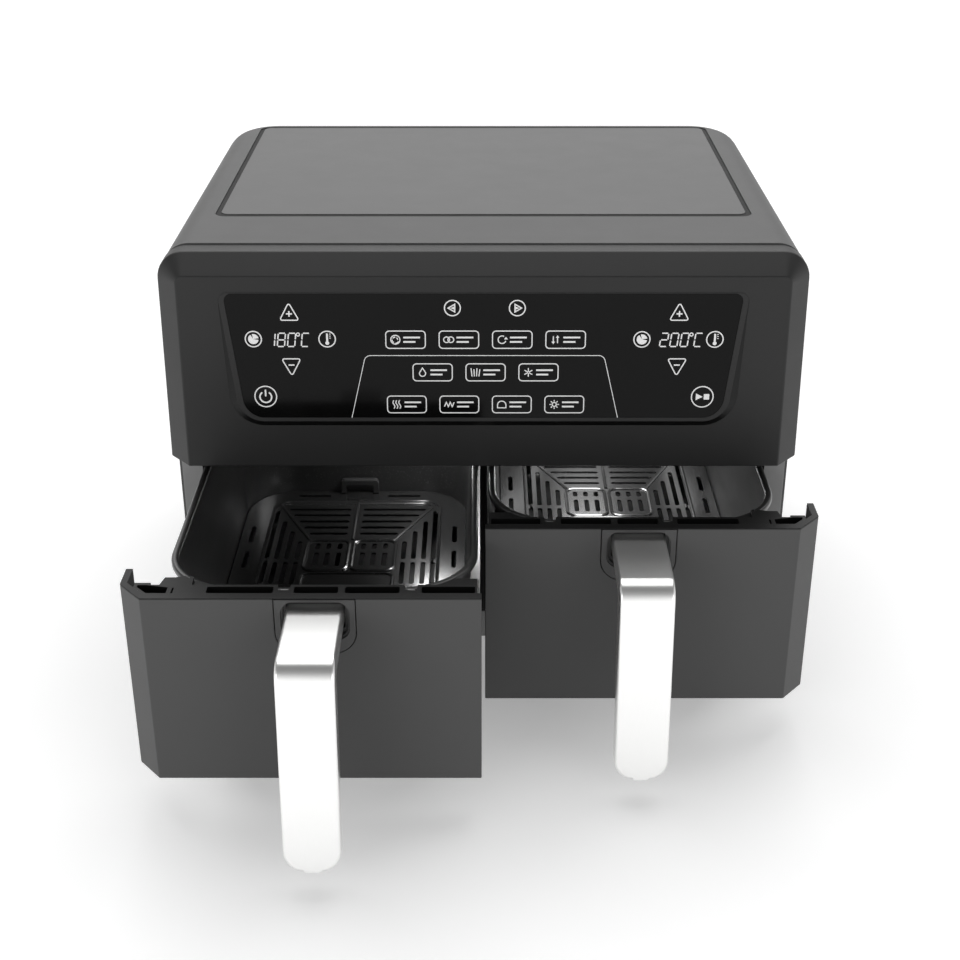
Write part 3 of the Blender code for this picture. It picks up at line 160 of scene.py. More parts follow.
class AIRFRYER_PG_handle(bpy.types.PropertyGroup):
    bend: length("Bend radius", "Outer radius of the handle's bend", 0.012)
    end_radius: length("End radius", "Radius of the handle's lower corners", 0.012)
    sheet: length("Sheet", "Thickness of the handle's steel", 0.0014)
    flange: length("Flange", "Depth of the steel along the handle's sides", 0.0095)
    edge: length("Edge radius", "Radius of the steel's front edges", 0.0020)
    root_drop: length("Root drop", "From the seam down to the handle's top face", 0.0083)
    crown: length("Crown", "How much the recess arches over the handle", 0.0008)


class AIRFRYER_PG_finish(bpy.types.PropertyGroup):
    body: colour("Body", "Housing", (0.086, 0.086, 0.086))
    plate: colour("Top plate", "Plate let into the top", (0.090, 0.090, 0.090))
    head: colour("Head", "Chamfered control head", (0.021, 0.021, 0.021))
    front: colour("Drawer fronts", "Fronts and their wings", (0.066, 0.066, 0.066))
    dark: colour("Dark plastic", "Brackets, post and grips", (0.006, 0.006, 0.006))
    light: colour("Front frame", "Frame beside the drawers", (0.210, 0.210, 0.210))
    coating: colour("Coating", "Pans and crisper trays", (0.010, 0.010, 0.010))
    glass: colour("Glass", "Control panel", (0.003, 0.003, 0.003))
    print: colour("Print", "Symbols on the control panel", (0.62, 0.62, 0.62))
    steel: colour("Steel", "Handles", (0.95, 0.95, 0.94))


class AIRFRYER_PG_stage(bpy.types.PropertyGroup):
    camera_back: length("Camera distance", "From the control face forward to the camera", 0.87445)
    camera_height: length("Camera height", "From the seam under the head up to the camera", 0.42389)
    camera_pitch: bpy.props.FloatProperty(
        name="Camera pitch",
        description="How far the camera looks down",
        default=math.radians(26.3688),
        unit="ROTATION",
    )
    lens: bpy.props.FloatProperty(
        name="Lens",
        description="Focal length in millimetres on a sensor 36 wide",
        default=57.56,
    )
    floor_size: length("Floor size", "Side of the square floor", 14.0)


GROUPS = {
    "airfryer_head": AIRFRYER_PG_head,
    "airfryer_panel": AIRFRYER_PG_panel,
    "airfryer_drawer": AIRFRYER_PG_drawer,
    "airfryer_handle": AIRFRYER_PG_handle,
    "airfryer_finish": AIRFRYER_PG_finish,
    "airfryer_stage": AIRFRYER_PG_stage,
}


def settings(name):
    return getattr(bpy.context.scene, f"airfryer_{name}")


# Shader maths


class Value:
    """A shader socket that can stand in a sum: each operator adds its Math node."""

    def __init__(self, finish, socket):
        self.finish = finish
        self.socket = socket

    def __add__(self, other):
        return self.finish.maths("ADD", self, other)

    def __radd__(self, other):
        return self.finish.maths("ADD", other, self)

    def __sub__(self, other):
        return self.finish.maths("SUBTRACT", self, other)

    def __rsub__(self, other):
        return self.finish.maths("SUBTRACT", other, self)

    def __mul__(self, other):
        return self.finish.maths("MULTIPLY", self, other)

    def __rmul__(self, other):
        return self.finish.maths("MULTIPLY", other, self)


class Finish:
    """One material's nodes."""

    def __init__(self, name, **fixed):
        self.material = bpy.data.materials.new(name)
        self.material.use_nodes = True
        self.tree = self.material.node_tree
        self.shader = self.tree.nodes["Principled BSDF"]
        for key, value in fixed.items():
            label = key.replace("_", " ").title().replace("Ior", "IOR")
            self.shader.inputs[label].default_value = value

    def node(self, kind, settings, inputs, output=0):
        made = self.tree.nodes.new(kind)
        for key, value in settings.items():
            if key == "stops":
                self.set_stops(made.color_ramp, value)
            else:
                setattr(made, key, value)
        for key, value in inputs.items():
            self.feed(made.inputs[key], value)
        return Value(self, made.outputs[output])

    def set_stops(self, ramp, stops):
        while len(ramp.elements) < len(stops):
            ramp.elements.new(0.5)
        for element, (place, shade) in zip(ramp.elements, stops):
            element.position = place
            element.color = (shade, shade, shade, 1.0)

    def feed(self, socket, value):
        if isinstance(value, Value):
            self.tree.links.new(value.socket, socket)
        else:
            socket.default_value = value

    def maths(self, operation, first, second):
        return self.node("ShaderNodeMath", {"operation": operation}, {0: first, 1: second})

    def place(self, scale=(1.0, 1.0, 1.0)):
        """Object coordinates, stretched along an axis where the pattern runs along it."""
        where = self.node("ShaderNodeTexCoord", {}, {}, "Object")
        return self.node("ShaderNodeMapping", {}, {"Vector": where, "Scale": scale})

    def noise(self, where, scale, detail=3.0):
        return self.node(
            "ShaderNodeTexNoise",
            {},
            {"Vector": where, "Scale": scale, "Detail": detail, "Roughness": 0.55},
        )

    def ramp(self, value, stops):
        return self.node("ShaderNodeValToRGB", {"stops": stops}, {"Fac": value})

    def blend(self, share, low, high):
        return self.node(
            "ShaderNodeMix",
            {"data_type": "RGBA"},
            {0: share, 6: (*low, 1.0), 7: (*high, 1.0)},
            2,
        )

    def drive(self, socket, value):
        self.feed(self.shader.inputs[socket], value)

    def bump(self, height, strength, distance):
        normal = self.node(
            "ShaderNodeBump",
            {},
            {"Height": height, "Strength": strength, "Distance": distance},
        )
        self.drive("Normal", normal)


def shade(base, factor):
    return tuple(min(1.0, channel * factor) for channel in base)


def moulded_plastic(name, base, roughness, grain=0.05, specular=0.5):
    """Moulded plastic: fine spark-eroded grain, slow drifts of gloss and a little cloudiness."""
    made = Finish(name, specular_ior_level=specular)
    where = made.place()
    cloud = made.noise(where, 9.0, 2.0)
    made.drive("Base Color", made.blend(cloud, shade(base, 0.93), shade(base, 1.07)))
    handling = made.noise(where, 38.0, 4.0)
    made.drive("Roughness", handling * 0.07 + (roughness - 0.035))
    texture = made.noise(where, 2600.0, 1.0)
    made.bump(texture, grain, 0.0002)
    return made.material


def satin_steel(name, base, roughness, along):
    """Brushed steel whose lines run along one axis, with slow waves of gloss."""
    made = Finish(name, metallic=1.0)
    scale = [1.0, 1.0, 1.0]
    scale[along] = 0.02
    brushing = made.noise(made.place(tuple(scale)), 1900.0, 2.0)
    waves = made.noise(made.place(), 14.0, 2.0)
    made.drive("Base Color", made.blend(brushing, shade(base, 0.97), base))
    made.drive("Roughness", brushing * 0.05 + waves * 0.04 + (roughness - 0.045))
    made.bump(brushing, 0.012, 0.0001)
    return made.material


def sheet_steel(name, base, roughness):
    """Bare or coated sheet: metal spangle under a thin haze."""
    made = Finish(name, metallic=1.0)
    where = made.place()
    spangle = made.node(
        "ShaderNodeTexVoronoi",
        {"feature": "F1"},
        {"Vector": where, "Scale": 140.0},
        "Distance",
    )
    haze = made.noise(where, 21.0, 4.0)
    made.drive("Base Color", made.blend(haze, shade(base, 0.85), base))
    made.drive("Roughness", spangle * 0.10 + haze * 0.08 + (roughness - 0.09))
    made.bump(spangle, 0.04, 0.0002)
    return made.material


def coated_metal(name, base, roughness, orange_peel):
    """Non-stick coating: orange peel, fine specks and faint wipe marks in its gloss."""
    made = Finish(name, specular_ior_level=0.5, coat_weight=0.15, coat_roughness=0.12)
    where = made.place()
    specks = made.ramp(made.noise(where, 900.0, 0.0), [(0.66, 0.0), (0.74, 1.0)])
    made.drive("Base Color", made.blend(specks, base, shade(base, 2.6)))
    wiping = made.noise(made.place((1.0, 0.25, 1.0)), 60.0, 3.0)
    made.drive("Roughness", wiping * 0.09 + (roughness - 0.045))
    made.bump(made.noise(where, 420.0, 1.0), orange_peel, 0.0003)
    return made.material


def panel_glass(name, base):
    """Black printed glass: almost even, with finger haze that only shows in the gloss."""
    made = Finish(name, specular_ior_level=0.12)
    where = made.place()
    cloud = made.noise(where, 6.0, 1.0)
    made.drive("Base Color", made.blend(cloud, shade(base, 0.9), shade(base, 1.1)))
    haze = made.ramp(made.noise(where, 24.0, 5.0), [(0.45, 0.0), (0.75, 1.0)])
    made.drive("Roughness", haze * 0.06 + 0.09)
    return made.material


def printed_ink(name, base, glow):
    """Light print over a lamp: dots of the screen print vary its brightness a little."""
    made = Finish(name, roughness=0.45, emission_strength=glow)
    dots = made.noise(made.place(), 700.0, 2.0)
    made.drive("Base Color", made.blend(dots, shade(base, 0.94), base))
    made.drive("Emission Color", made.blend(dots, shade(base, 0.9), base))
    return made.material


def soft_rubber(name, base):
    """Silicone or rubber: matt, with a powdery bloom."""
    made = Finish(name, specular_ior_level=0.35)
    where = made.place()
    bloom = made.noise(where, 55.0, 5.0)
    made.drive("Base Color", made.blend(bloom, base, shade(base, 1.8)))
    made.drive("Roughness", bloom * 0.12 + 0.66)
    made.bump(made.noise(where, 1500.0, 2.0), 0.08, 0.0002)
    return made.material


def circuit_laminate(name, base):
    """Circuit board: solder mask over a fine lattice of tracks."""
    made = Finish(name, roughness=0.4)
    where = made.place()
    tracks = made.node(
        "ShaderNodeTexBrick",
        {"offset": 0.5},
        {"Vector": where, "Scale": 90.0, "Mortar Size": 0.03},
        "Fac",
    )
    made.drive("Base Color", made.blend(tracks, base, shade(base, 1.9)))
    made.bump(tracks, 0.2, 0.0001)
    return made.material


FINISHES = {}


def make_finishes():
    chosen = settings("finish")
    dark = tuple(chosen.dark)
    steel = tuple(chosen.steel)
    coating = tuple(chosen.coating)
    FINISHES.update(
        body_plastic=moulded_plastic("body_plastic", tuple(chosen.body), 0.46, 0.05, 0.22),
        top_plate=moulded_plastic("top_plate_paint", tuple(chosen.plate), 0.38, 0.03, 0.25),
        head_plastic=moulded_plastic("head_plastic", tuple(chosen.head), 0.44, 0.05, 0.25),
        # Near-black plastic for the slope round the raised rim: painted shade, standing for the
        # shadow along the rim's proud side.
        bezel_plastic=moulded_plastic("bezel_plastic", shade(dark, 0.6), 0.34, 0.02, 0.18),
        control_glass=panel_glass("control_glass", tuple(chosen.glass)),
        print=printed_ink("panel_print", tuple(chosen.print), 0.35),
        circuit_board=circuit_laminate("circuit_laminate", (0.015, 0.09, 0.035)),
        dark_plastic=moulded_plastic("dark_plastic", dark, 0.42, 0.04, 0.2),
        rubber=soft_rubber("soft_rubber", shade(dark, 0.9)),
        frame_plastic=moulded_plastic("frame_plastic", tuple(chosen.light), 0.45),
        front_plastic=moulded_plastic("front_plastic", tuple(chosen.front), 0.48, 0.05, 0.25),
        steel_sheet=sheet_steel("steel_sheet", (0.34, 0.34, 0.34), 0.42),
        heater_steel=sheet_steel("heater_sheath", (0.10, 0.095, 0.09), 0.5),
        motor_steel=sheet_steel("motor_can", (0.42, 0.42, 0.43), 0.38),
        bright_steel=satin_steel("bright_steel", shade(steel, 0.85), 0.26, 1),
        display=moulded_plastic("display_filter", (0.006, 0.006, 0.006), 0.25, 0.01),
        pan_coating=coated_metal("pan_coating", coating, 0.34, 0.05),
        tray_coating=coated_metal("tray_coating", shade(coating, 0.8), 0.18, 0.02),
        handle_steel=satin_steel("handle_steel", steel, 0.30, 2),
    )


# Mesh helpers


def link(name, mesh):
    made = bpy.data.objects.new(name, mesh)
    bpy.context.scene.collection.objects.link(made)
    return made


def solid(name, bm):
    """The bmesh as an object, with its faces turned outwards."""
    bmesh.ops.recalc_face_normals(bm, faces=bm.faces)
    mesh = bpy.data.meshes.new(name)
    bm.to_mesh(mesh)
    bm.free()
    return link(name, mesh)


def rounded(points, radii, steps=8):
    """A closed outline with each corner turned into an arc of its own radius."""
    outline = []
    count = len(points)
    for index, (point, radius) in enumerate(zip(points, radii)):
        corner = Vector(point)
        if radius <= 0:
            outline.append(tuple(corner))
            continue
        before = (Vector(points[index - 1]) - corner).normalized()
        after = (Vector(points[(index + 1) % count]) - corner).normalized()
        half = before.angle(after) / 2
        reach = radius / math.tan(half)
        centre = corner + (before + after).normalized() * radius / math.sin(half)
        start = corner + before * reach - centre
        turn = start.angle_signed(corner + after * reach - centre)
        for step in range(steps + 1):
            arm = Matrix.Rotation(-turn * step / steps, 2) @ start
            outline.append(tuple(centre + arm))
    return outline


def rectangle(low, high, radius, steps=8):
    corners = [(low[0], low[1]), (high[0], low[1]), (high[0], high[1]), (low[0], high[1])]
    return rounded(corners, [radius] * 4, steps)


def add_loft(bm, rings, closed=False):
    """Skins rings of like count, then joins the last to the first or caps both ends."""
    loops = [[bm.verts.new(point) for point in ring] for ring in rings]
    count = len(loops[0])
    uppers = loops[1:] + (loops[:1] if closed else [])
    for lower, upper in zip(loops, uppers):
        for here in range(count):
            there = (here + 1) % count
            bm.faces.new((lower[here], lower[there], upper[there], upper[here]))
    if not closed:
        bm.faces.new(reversed(loops[0]))
        bm.faces.new(loops[-1])
    return loops


def loft(name, rings):
    bm = bmesh.new()
    add_loft(bm, rings)
    return solid(name, bm)


def prism(name, outline, axis, low, high):
    """A flat outline pulled along an axis: its two numbers are the other two axes in order."""

    def ring(height):
        points = []
        for pair in outline:
            point = list(pair)
            point.insert(axis, height)
            points.append(point)
        return points

    return loft(name, [ring(low), ring(high)])


def block(name, low, high):
    outline = [(low[0], low[1]), (high[0], low[1]), (high[0], high[1]), (low[0], high[1])]
    return prism(name, outline, 2, low[2], high[2])


def stack(name, levels, centre, axis=2, steps=48):
    """A solid of circles stacked along an axis, from (radius, height) levels."""
    rings = []
    for radius, height in levels:
        ring = []
        for step in range(steps):
            angle = 2 * math.pi * step / steps
            point = [centre[0] + radius * math.cos(angle), centre[1] + radius * math.sin(angle)]
            point.insert(axis, height)
            ring.append(point)
        rings.append(ring)
    return loft(name, rings)


def tube(name, points, radius, closed=False):
    """A round tube along a line of points."""
    curve = bpy.data.curves.new(name, "CURVE")
    curve.dimensions = "3D"
    curve.bevel_depth = radius
    curve.bevel_resolution = 2
    curve.use_fill_caps = True
    line = curve.splines.new("POLY")
    line.points.add(len(points) - 1)
    line.use_cyclic_u = closed
    for point, place in zip(line.points, points):
        point.co = (*place, 1.0)
    holder = link(name, curve)
    mesh = evaluated_mesh(holder)
    bpy.data.objects.remove(holder)
    bpy.data.curves.remove(curve)
    bm = bmesh.new()
    bm.from_mesh(mesh)
    bmesh.ops.remove_doubles(bm, verts=bm.verts, dist=1e-6)
    bmesh.ops.recalc_face_normals(bm, faces=bm.faces)
    bm.to_mesh(mesh)
    bm.free()
    return link(name, mesh)


def evaluated_mesh(obj):
    graph = bpy.context.evaluated_depsgraph_get()
    return bpy.data.meshes.new_from_object(obj.evaluated_get(graph), depsgraph=graph)


def settle(obj):
    """Turns an object's modifiers into plain mesh."""
    mesh = evaluated_mesh(obj)
    obj.modifiers.clear()
    old = obj.data
    obj.data = mesh
    bpy.data.meshes.remove(old)
    return obj


def combine(target, tools, operation, solver="EXACT"):
    for tool in tools:
        change = target.modifiers.new(tool.name, "BOOLEAN")
        change.operation = operation
        change.solver = solver
        change.object = tool
    settle(target)
    for tool in tools:
        bpy.data.objects.remove(tool)
    return target


def cut(target, *tools):
    return combine(target, tools, "DIFFERENCE")


def join(target, *tools):
    return combine(target, tools, "UNION")


def soften(obj, width, segments=3, angle=30.0):
    """Rounds the edges that turn by more than an angle."""
    merge = obj.modifiers.new("merge", "WELD")
    merge.merge_threshold = 0.00001
    change = obj.modifiers.new("soften", "BEVEL")
    change.width = width
    change.segments = segments
    change.limit_method = "ANGLE"
    change.angle_limit = math.radians(angle)
    change.use_clamp_overlap = True
    return settle(obj)


def place(obj, origin, body, slot, *nodes, finish=None, sharp=42.0):
    """Puts a finished mesh in the world, shades it, hangs it on its body and hides the frame's
    pieces it stands for.
    """
    obj.data.transform(Matrix.Translation(origin))
    obj.data.materials.clear()
    obj.data.materials.append(FINISHES[finish or slot])
    obj.data.polygons.foreach_set("material_index", [0] * len(obj.data.polygons))
    obj.data.shade_smooth()
    obj.data.set_sharp_from_angle(angle=math.radians(sharp))
    even = obj.modifiers.new("even_normals", "WEIGHTED_NORMAL")
    even.keep_sharp = True
    even.weight = 60
    settle(obj)
    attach(obj, body)
    if nodes:
        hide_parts(*nodes)
    return obj


# Node geometry


class Nodes:
    """A Geometry Nodes tree with named inputs."""

    def __init__(self, name):
        self.tree = bpy.data.node_groups.new(name, "GeometryNodeTree")
        self.tree.is_modifier = True
        self.add_input("Geometry", "NodeSocketGeometry")
        self.tree.interface.new_socket(
            "Geometry", in_out="OUTPUT", socket_type="NodeSocketGeometry"
        )
        self.inlet = self.tree.nodes.new("NodeGroupInput")

    def add_input(self, name, kind):
        self.tree.interface.new_socket(name, in_out="INPUT", socket_type=kind)

    def node(self, kind, settings, inputs, output=0):
        made = self.tree.nodes.new(kind)
        for key, value in settings.items():
            setattr(made, key, value)
        for key, value in inputs.items():
            if isinstance(value, bpy.types.NodeSocket):
                self.tree.links.new(value, made.inputs[key])
            else:
                made.inputs[key].default_value = value
        return made.outputs[output]

    def finish(self, geometry, material):
        real = self.node("GeometryNodeRealizeInstances", {}, {"Geometry": geometry})
        dressed = self.node(
            "GeometryNodeSetMaterial", {}, {"Geometry": real, "Material": material}
        )
        outlet = self.tree.nodes.new("NodeGroupOutput")
        self.tree.links.new(dressed, outlet.inputs[0])
        return self.tree


def grown(obj, tree, values):
    """Runs a tree on an object and keeps the result as plain mesh."""
    change = obj.modifiers.new(tree.name, "NODES")
    change.node_group = tree
    for item in tree.interface.items_tree:
        if item.item_type == "SOCKET" and item.in_out == "INPUT" and item.name in values:
            change[item.identifier] = values[item.name]
    settle(obj)
    bm = bmesh.new()
    bm.from_mesh(obj.data)
    bmesh.ops.recalc_face_normals(bm, faces=bm.faces)
    bm.to_mesh(obj.data)
    bm.free()
    return obj


def point_cloud(name, points):
    mesh = bpy.data.meshes.new(name)
    mesh.from_pydata([tuple(point) for point in points], [], [])
    return link(name, mesh)


def slot_tree():
    """Round-ended slots standing on points, each turned a quarter turn when Across is set."""
    tree = Nodes("round_ended_slots")
    tree.add_input("Width", "NodeSocketFloat")
    tree.add_input("Length", "NodeSocketFloat")
    tree.add_input("Depth", "NodeSocketFloat")
    tree.add_input("Across", "NodeSocketBool")
    source = tree.inlet.outputs
    shape = tree.node(
        "GeometryNodeCurvePrimitiveQuadrilateral",
        {},
        {"Width": source["Width"], "Height": source["Length"]},
    )
    half = tree.node("ShaderNodeMath", {"operation": "MULTIPLY"}, {0: source["Width"], 1: 0.495})
    fillet = tree.node(
        "GeometryNodeFilletCurve",
        {"mode": "POLY"},
        {"Curve": shape, "Count": 4, "Radius": half},
    )
    flat = tree.node("GeometryNodeFillCurve", {}, {"Curve": fillet})
    tall = tree.node(
        "GeometryNodeExtrudeMesh",
        {"mode": "FACES"},
        {"Mesh": flat, "Offset Scale": source["Depth"], "Individual": False},
    )
    closed = tree.node("GeometryNodeJoinGeometry", {}, {})
    flipped = tree.node("GeometryNodeFlipFaces", {}, {"Mesh": flat})
    tree.tree.links.new(tall, closed.node.inputs[0])
    tree.tree.links.new(flipped, closed.node.inputs[0])
    merged = tree.node(
        "GeometryNodeMergeByDistance",
        {},
        {"Geometry": closed, "Distance": 0.00001},
    )
    turn = tree.node(
        "ShaderNodeMath", {"operation": "MULTIPLY"}, {0: source["Across"], 1: math.pi / 2}
    )
    euler = tree.node("ShaderNodeCombineXYZ", {}, {"Z": turn})
    placed = tree.node(
        "GeometryNodeInstanceOnPoints",
        {},
        {"Points": source["Geometry"], "Instance": merged, "Rotation": euler},
    )
    return tree.finish(placed, FINISHES["dark_plastic"])


def slots(name, points, width, long, depth, across=False):
    """A cutter of like slots at points in the XY plane, from each point up by the depth."""
    made = point_cloud(name, points)
    tree = bpy.data.node_groups.get("round_ended_slots") or slot_tree()
    return grown(made, tree, {"Width": width, "Length": long, "Depth": depth, "Across": across})


def bar_tree():
    """A straight row of like bars."""
    tree = Nodes("row_of_bars")
    tree.add_input("Count", "NodeSocketInt")
    tree.add_input("Start", "NodeSocketVector")
    tree.add_input("Step", "NodeSocketVector")
    tree.add_input("Size", "NodeSocketVector")
    source = tree.inlet.outputs
    line = tree.node(
        "GeometryNodeMeshLine",
        {"mode": "OFFSET"},
        {"Count": source["Count"], "Start Location": source["Start"], "Offset": source["Step"]},
    )
    bar = tree.node("GeometryNodeMeshCube", {}, {"Size": source["Size"]})
    placed = tree.node("GeometryNodeInstanceOnPoints", {}, {"Points": line, "Instance": bar})
    return tree.finish(placed, FINISHES["dark_plastic"])


def bars(name, count, start, step, size):
    made = point_cloud(name, [start])
    tree = bpy.data.node_groups.get("row_of_bars") or bar_tree()
    values = {"Count": count, "Start": start, "Step": step, "Size": size}
    return grown(made, tree, values)


def screw_tree():
    """Cross-head screws standing on points, turned to face one way."""
    tree = Nodes("cross_head_screws")
    tree.add_input("Radius", "NodeSocketFloat")
    tree.add_input("Height", "NodeSocketFloat")
    tree.add_input("Turn", "NodeSocketVector")
    source = tree.inlet.outputs
    head = tree.node(
        "GeometryNodeMeshCylinder",
        {},
        {"Vertices": 24, "Radius": source["Radius"], "Depth": source["Height"]},
    )
    long = tree.node("ShaderNodeMath", {"operation": "MULTIPLY"}, {0: source["Radius"], 1: 1.2})
    wide = tree.node("ShaderNodeMath", {"operation": "MULTIPLY"}, {0: source["Radius"], 1: 0.28})
    size_x = tree.node(
        "ShaderNodeCombineXYZ", {}, {"X": long, "Y": wide, "Z": source["Height"]}
    )
    size_y = tree.node(
        "ShaderNodeCombineXYZ", {}, {"X": wide, "Y": long, "Z": source["Height"]}
    )
    lift = tree.node("ShaderNodeMath", {"operation": "MULTIPLY"}, {0: source["Height"], 1: 0.6})
    up = tree.node("ShaderNodeCombineXYZ", {}, {"Z": lift})
    cross = []
    for size in (size_x, size_y):
        groove = tree.node("GeometryNodeMeshCube", {}, {"Size": size})
        cross.append(
            tree.node("GeometryNodeTransform", {}, {"Geometry": groove, "Translation": up})
        )
    cut_head = tree.node(
        "GeometryNodeMeshBoolean", {"operation": "DIFFERENCE"}, {"Mesh 1": head}
    )
    for groove in cross:
        tree.tree.links.new(groove, cut_head.node.inputs["Mesh 2"])
    placed = tree.node(
        "GeometryNodeInstanceOnPoints",
        {},
        {"Points": source["Geometry"], "Instance": cut_head, "Rotation": source["Turn"]},
    )
    return tree.finish(placed, FINISHES["bright_steel"])


def screws(name, points, radius, height, turn):
    made = point_cloud(name, points)
    tree = bpy.data.node_groups.get("cross_head_screws") or screw_tree()
    return grown(made, tree, {"Radius": radius, "Height": height, "Turn": turn})


# Housing and head


EDGE_STEPS = 24
CORNER_SHARE = 0.8
COVER_LAP = 0.008
INLET_NECK = 0.009
WINDOW_MARGIN = 0.012


def housing_solid(name, high, inset, front, bottom):
    """The housing's outer shape moved in by a wall: sides lean, rear corners and top are round."""
    chosen = settings("head")
    side_round = chosen.corner - inset
    rear_round = chosen.rear_edge - inset
    top = high.z - inset
    heights = [bottom, 0.0]
    for step in range(EDGE_STEPS + 1):
        rise = side_round * math.sin(math.pi / 2 * step / EDGE_STEPS)
        heights.append(top - side_round + rise)
    rings = []
    for height in heights:
        side_in = arc_inset(height - top + side_round, side_round)
        rear_in = arc_inset(height - top + rear_round, rear_round)
        lean = chosen.body_lean * min(1.0, (high.z - height) / high.z)
        half = high.x + lean - inset - side_in
        back = high.y - inset - rear_in
        corner = chosen.rear_corner - inset - CORNER_SHARE * side_in
        corners = [(-half, front), (half, front), (half, back), (-half, back)]
        outline = rounded(corners, [0, 0, corner, corner], 14)
        rings.append([(x, y, height) for x, y in outline])
    return loft(name, rings)


def arc_inset(rise, radius):
    """How far a round edge has moved in at a height over where it starts."""
    if rise <= 0 or radius <= 0:
        return 0.0
    return radius - math.sqrt(max(0.0, radius * radius - rise * rise))


def plate_outline(shrink):
    low, high = machine_box("top_plate")
    corner = settings("head").plate_corner
    return rectangle((low.x + shrink, low.y), (high.x - shrink, high.y), corner, 10)


def groove_outline(shrink):
    """The recess that the top plate lies in: wider in front of the plate than beside it."""
    chosen = settings("head")
    low, high = machine_box("top_plate")
    gap = chosen.plate_gap - shrink
    corner = chosen.plate_corner + gap
    start = (low.x - gap, low.y - chosen.groove_front + shrink)
    return rectangle(start, (high.x + gap, high.y + gap), corner, 10)


def build_housing():
    chosen = settings("head")
    low, high = machine_box("outer_housing")
    shell = housing_solid("housing", high, 0.0, low.y, low.z)
    cut(shell, housing_solid("room", high, chosen.wall, low.y - 0.01, low.z - 0.01))
    lower_start = machine_box("front_frame")[1].y + FIT
    plate_low, _ = machine_box("top_plate")
    cover_low, cover_high = machine_box("rear_cover")
    inlet_low, inlet_high = machine_box("cord_inlet")
    hole = rectangle(
        (cover_low.x + COVER_LAP, cover_low.z + COVER_LAP),
        (cover_high.x - COVER_LAP, cover_high.z - COVER_LAP),
        0.006,
    )
    through = (high.y - 2 * chosen.wall, high.y + chosen.wall)
    inlet_centre = ((inlet_low.x + inlet_high.x) / 2, (inlet_low.z + inlet_high.z) / 2)
    inlet_radius = INLET_NECK + FIT
    cut(
        shell,
        block("lower_front", (-BEYOND, -BEYOND, -BEYOND), (BEYOND, lower_start, 0.0)),
        prism("plate_recess", groove_outline(0.0), 2, plate_low.z - FIT, high.z + chosen.wall),
        prism("cover_hole", hole, 1, *through),
        stack(
            "inlet_hole",
            [(inlet_radius, through[0]), (inlet_radius, through[1])],
            inlet_centre,
            axis=1,
        ),
    )
    soften(shell, 0.0006, 2, 35.0)
    place(shell, MACHINE, ROOT, "body_plastic", "outer_housing", sharp=30.0)
    plate_low, plate_high = machine_box("top_plate")
    plate = prism("lid_plate", plate_outline(chosen.plate_inset), 2, plate_low.z, plate_high.z)
    soften(plate, 0.0004, 3)
    place(plate, MACHINE, ROOT, "top_plate", "top_plate")
    # Painted shade: near-black rubber laid on the groove's floor round the plate, standing for the
    # shadow down in the groove.
    shade_strip_low, shade_strip_high = plate_low.z - FIT / 2, plate_low.z + 0.0005
    shade_strip = prism("groove_shade_strip", groove_outline(0.0001), 2, shade_strip_low, shade_strip_high)
    core = plate_outline(chosen.plate_inset - 0.0001)
    cut(shade_strip, prism("shade_strip_core", core, 2, plate_low.z - 0.01, plate_low.z + 0.01))
    place(shade_strip, MACHINE, ROOT, "rubber")


def build_fascia():
    """The chamfered head: an open shell whose front ring is smaller than its back ring."""
    chosen = settings("head")
    _, high = machine_box("fascia")
    face_half = high.x - chosen.chamfer_side
    face_top = high.z - chosen.chamfer_top
    wall = chosen.wall

    def ring(half, bottom, top, radius, depth):
        corners = [(-half, bottom), (half, bottom), (half, top), (-half, top)]
        outline = rounded(corners, [0, 0, radius, radius], 12)
        narrow = chosen.lean / (high.x * high.z)
        return [(x * (1 - narrow * z), depth, z) for x, z in outline]

    inside = (high.x - wall, wall, high.z - wall, chosen.corner - wall)
    rings = [
        ring(face_half, 0.0, face_top, chosen.face_corner, 0.0),
        ring(high.x, 0.0, high.z, chosen.corner, chosen.chamfer_depth),
        ring(high.x, 0.0, high.z, chosen.corner, high.y),
        ring(*inside, high.y),
        ring(*inside, chosen.chamfer_depth + wall / 2),
        ring(face_half - wall / 2, wall, face_top - wall / 2, chosen.face_corner, wall),
    ]
    head = loft("control_head", rings)
    glass_low, glass_high = machine_box("control_glass")
    window_half = panel_half(glass_low.z) - WINDOW_MARGIN
    window = rectangle(
        (-window_half, glass_low.z + WINDOW_MARGIN),
        (window_half, glass_high.z - WINDOW_MARGIN),
        0.006,
    )
    cut(head, prism("window", window, 1, -wall, 2 * wall))
    soften(head, 0.0009, 3, 25.0)
    place(head, MACHINE, ROOT, "head_plastic", "fascia", sharp=30.0)


# Control panel


PANEL_NARROWING = 0.0085
PANEL_STEP = 0.0004
PANEL_BACK = -0.0001
PANEL_BROW = 0.0006
PANEL_TOP_CORNER = 0.0045
RISE_START = 0.002
GLASS_SINK = 0.00025


def panel_half(height):
    """Half the glass's width at a height: it narrows downwards in a straight line."""
    low, high = machine_box("control_glass")
    grow = settings("panel").top_grow
    share = (high.z - height) / (high.z - low.z)
    return high.x + grow - (PANEL_NARROWING + grow) * share


def raised_share(height):
    """How much of its full rise the panel has at a height: none at its top, all at its foot."""
    low, high = machine_box("control_glass")
    start = high.z - RISE_START
    share = (start - height) / (start - low.z)
    return min(1.0, max(0.0, share))


def glass_front(height):
    """Depth of the raised rim's front at a height."""
    proud = -machine_box("control_bezel")[0].y
    return -PANEL_STEP - (proud - PANEL_STEP) * raised_share(height)


def panel_outline(grow, below, above):
    chosen = settings("panel")
    low, high = machine_box("control_glass")
    foot = low.z + chosen.glass_rise
    bottom = panel_half(foot) + grow
    top = panel_half(high.z) + grow
    corners = [
        (-bottom, foot - below),
        (bottom, foot - below),
        (top, high.z + above),
        (-top, high.z + above),
    ]
    lower = chosen.glass_corner + grow
    upper = PANEL_TOP_CORNER + above
    return rounded(corners, [lower, lower, upper, upper], 14)


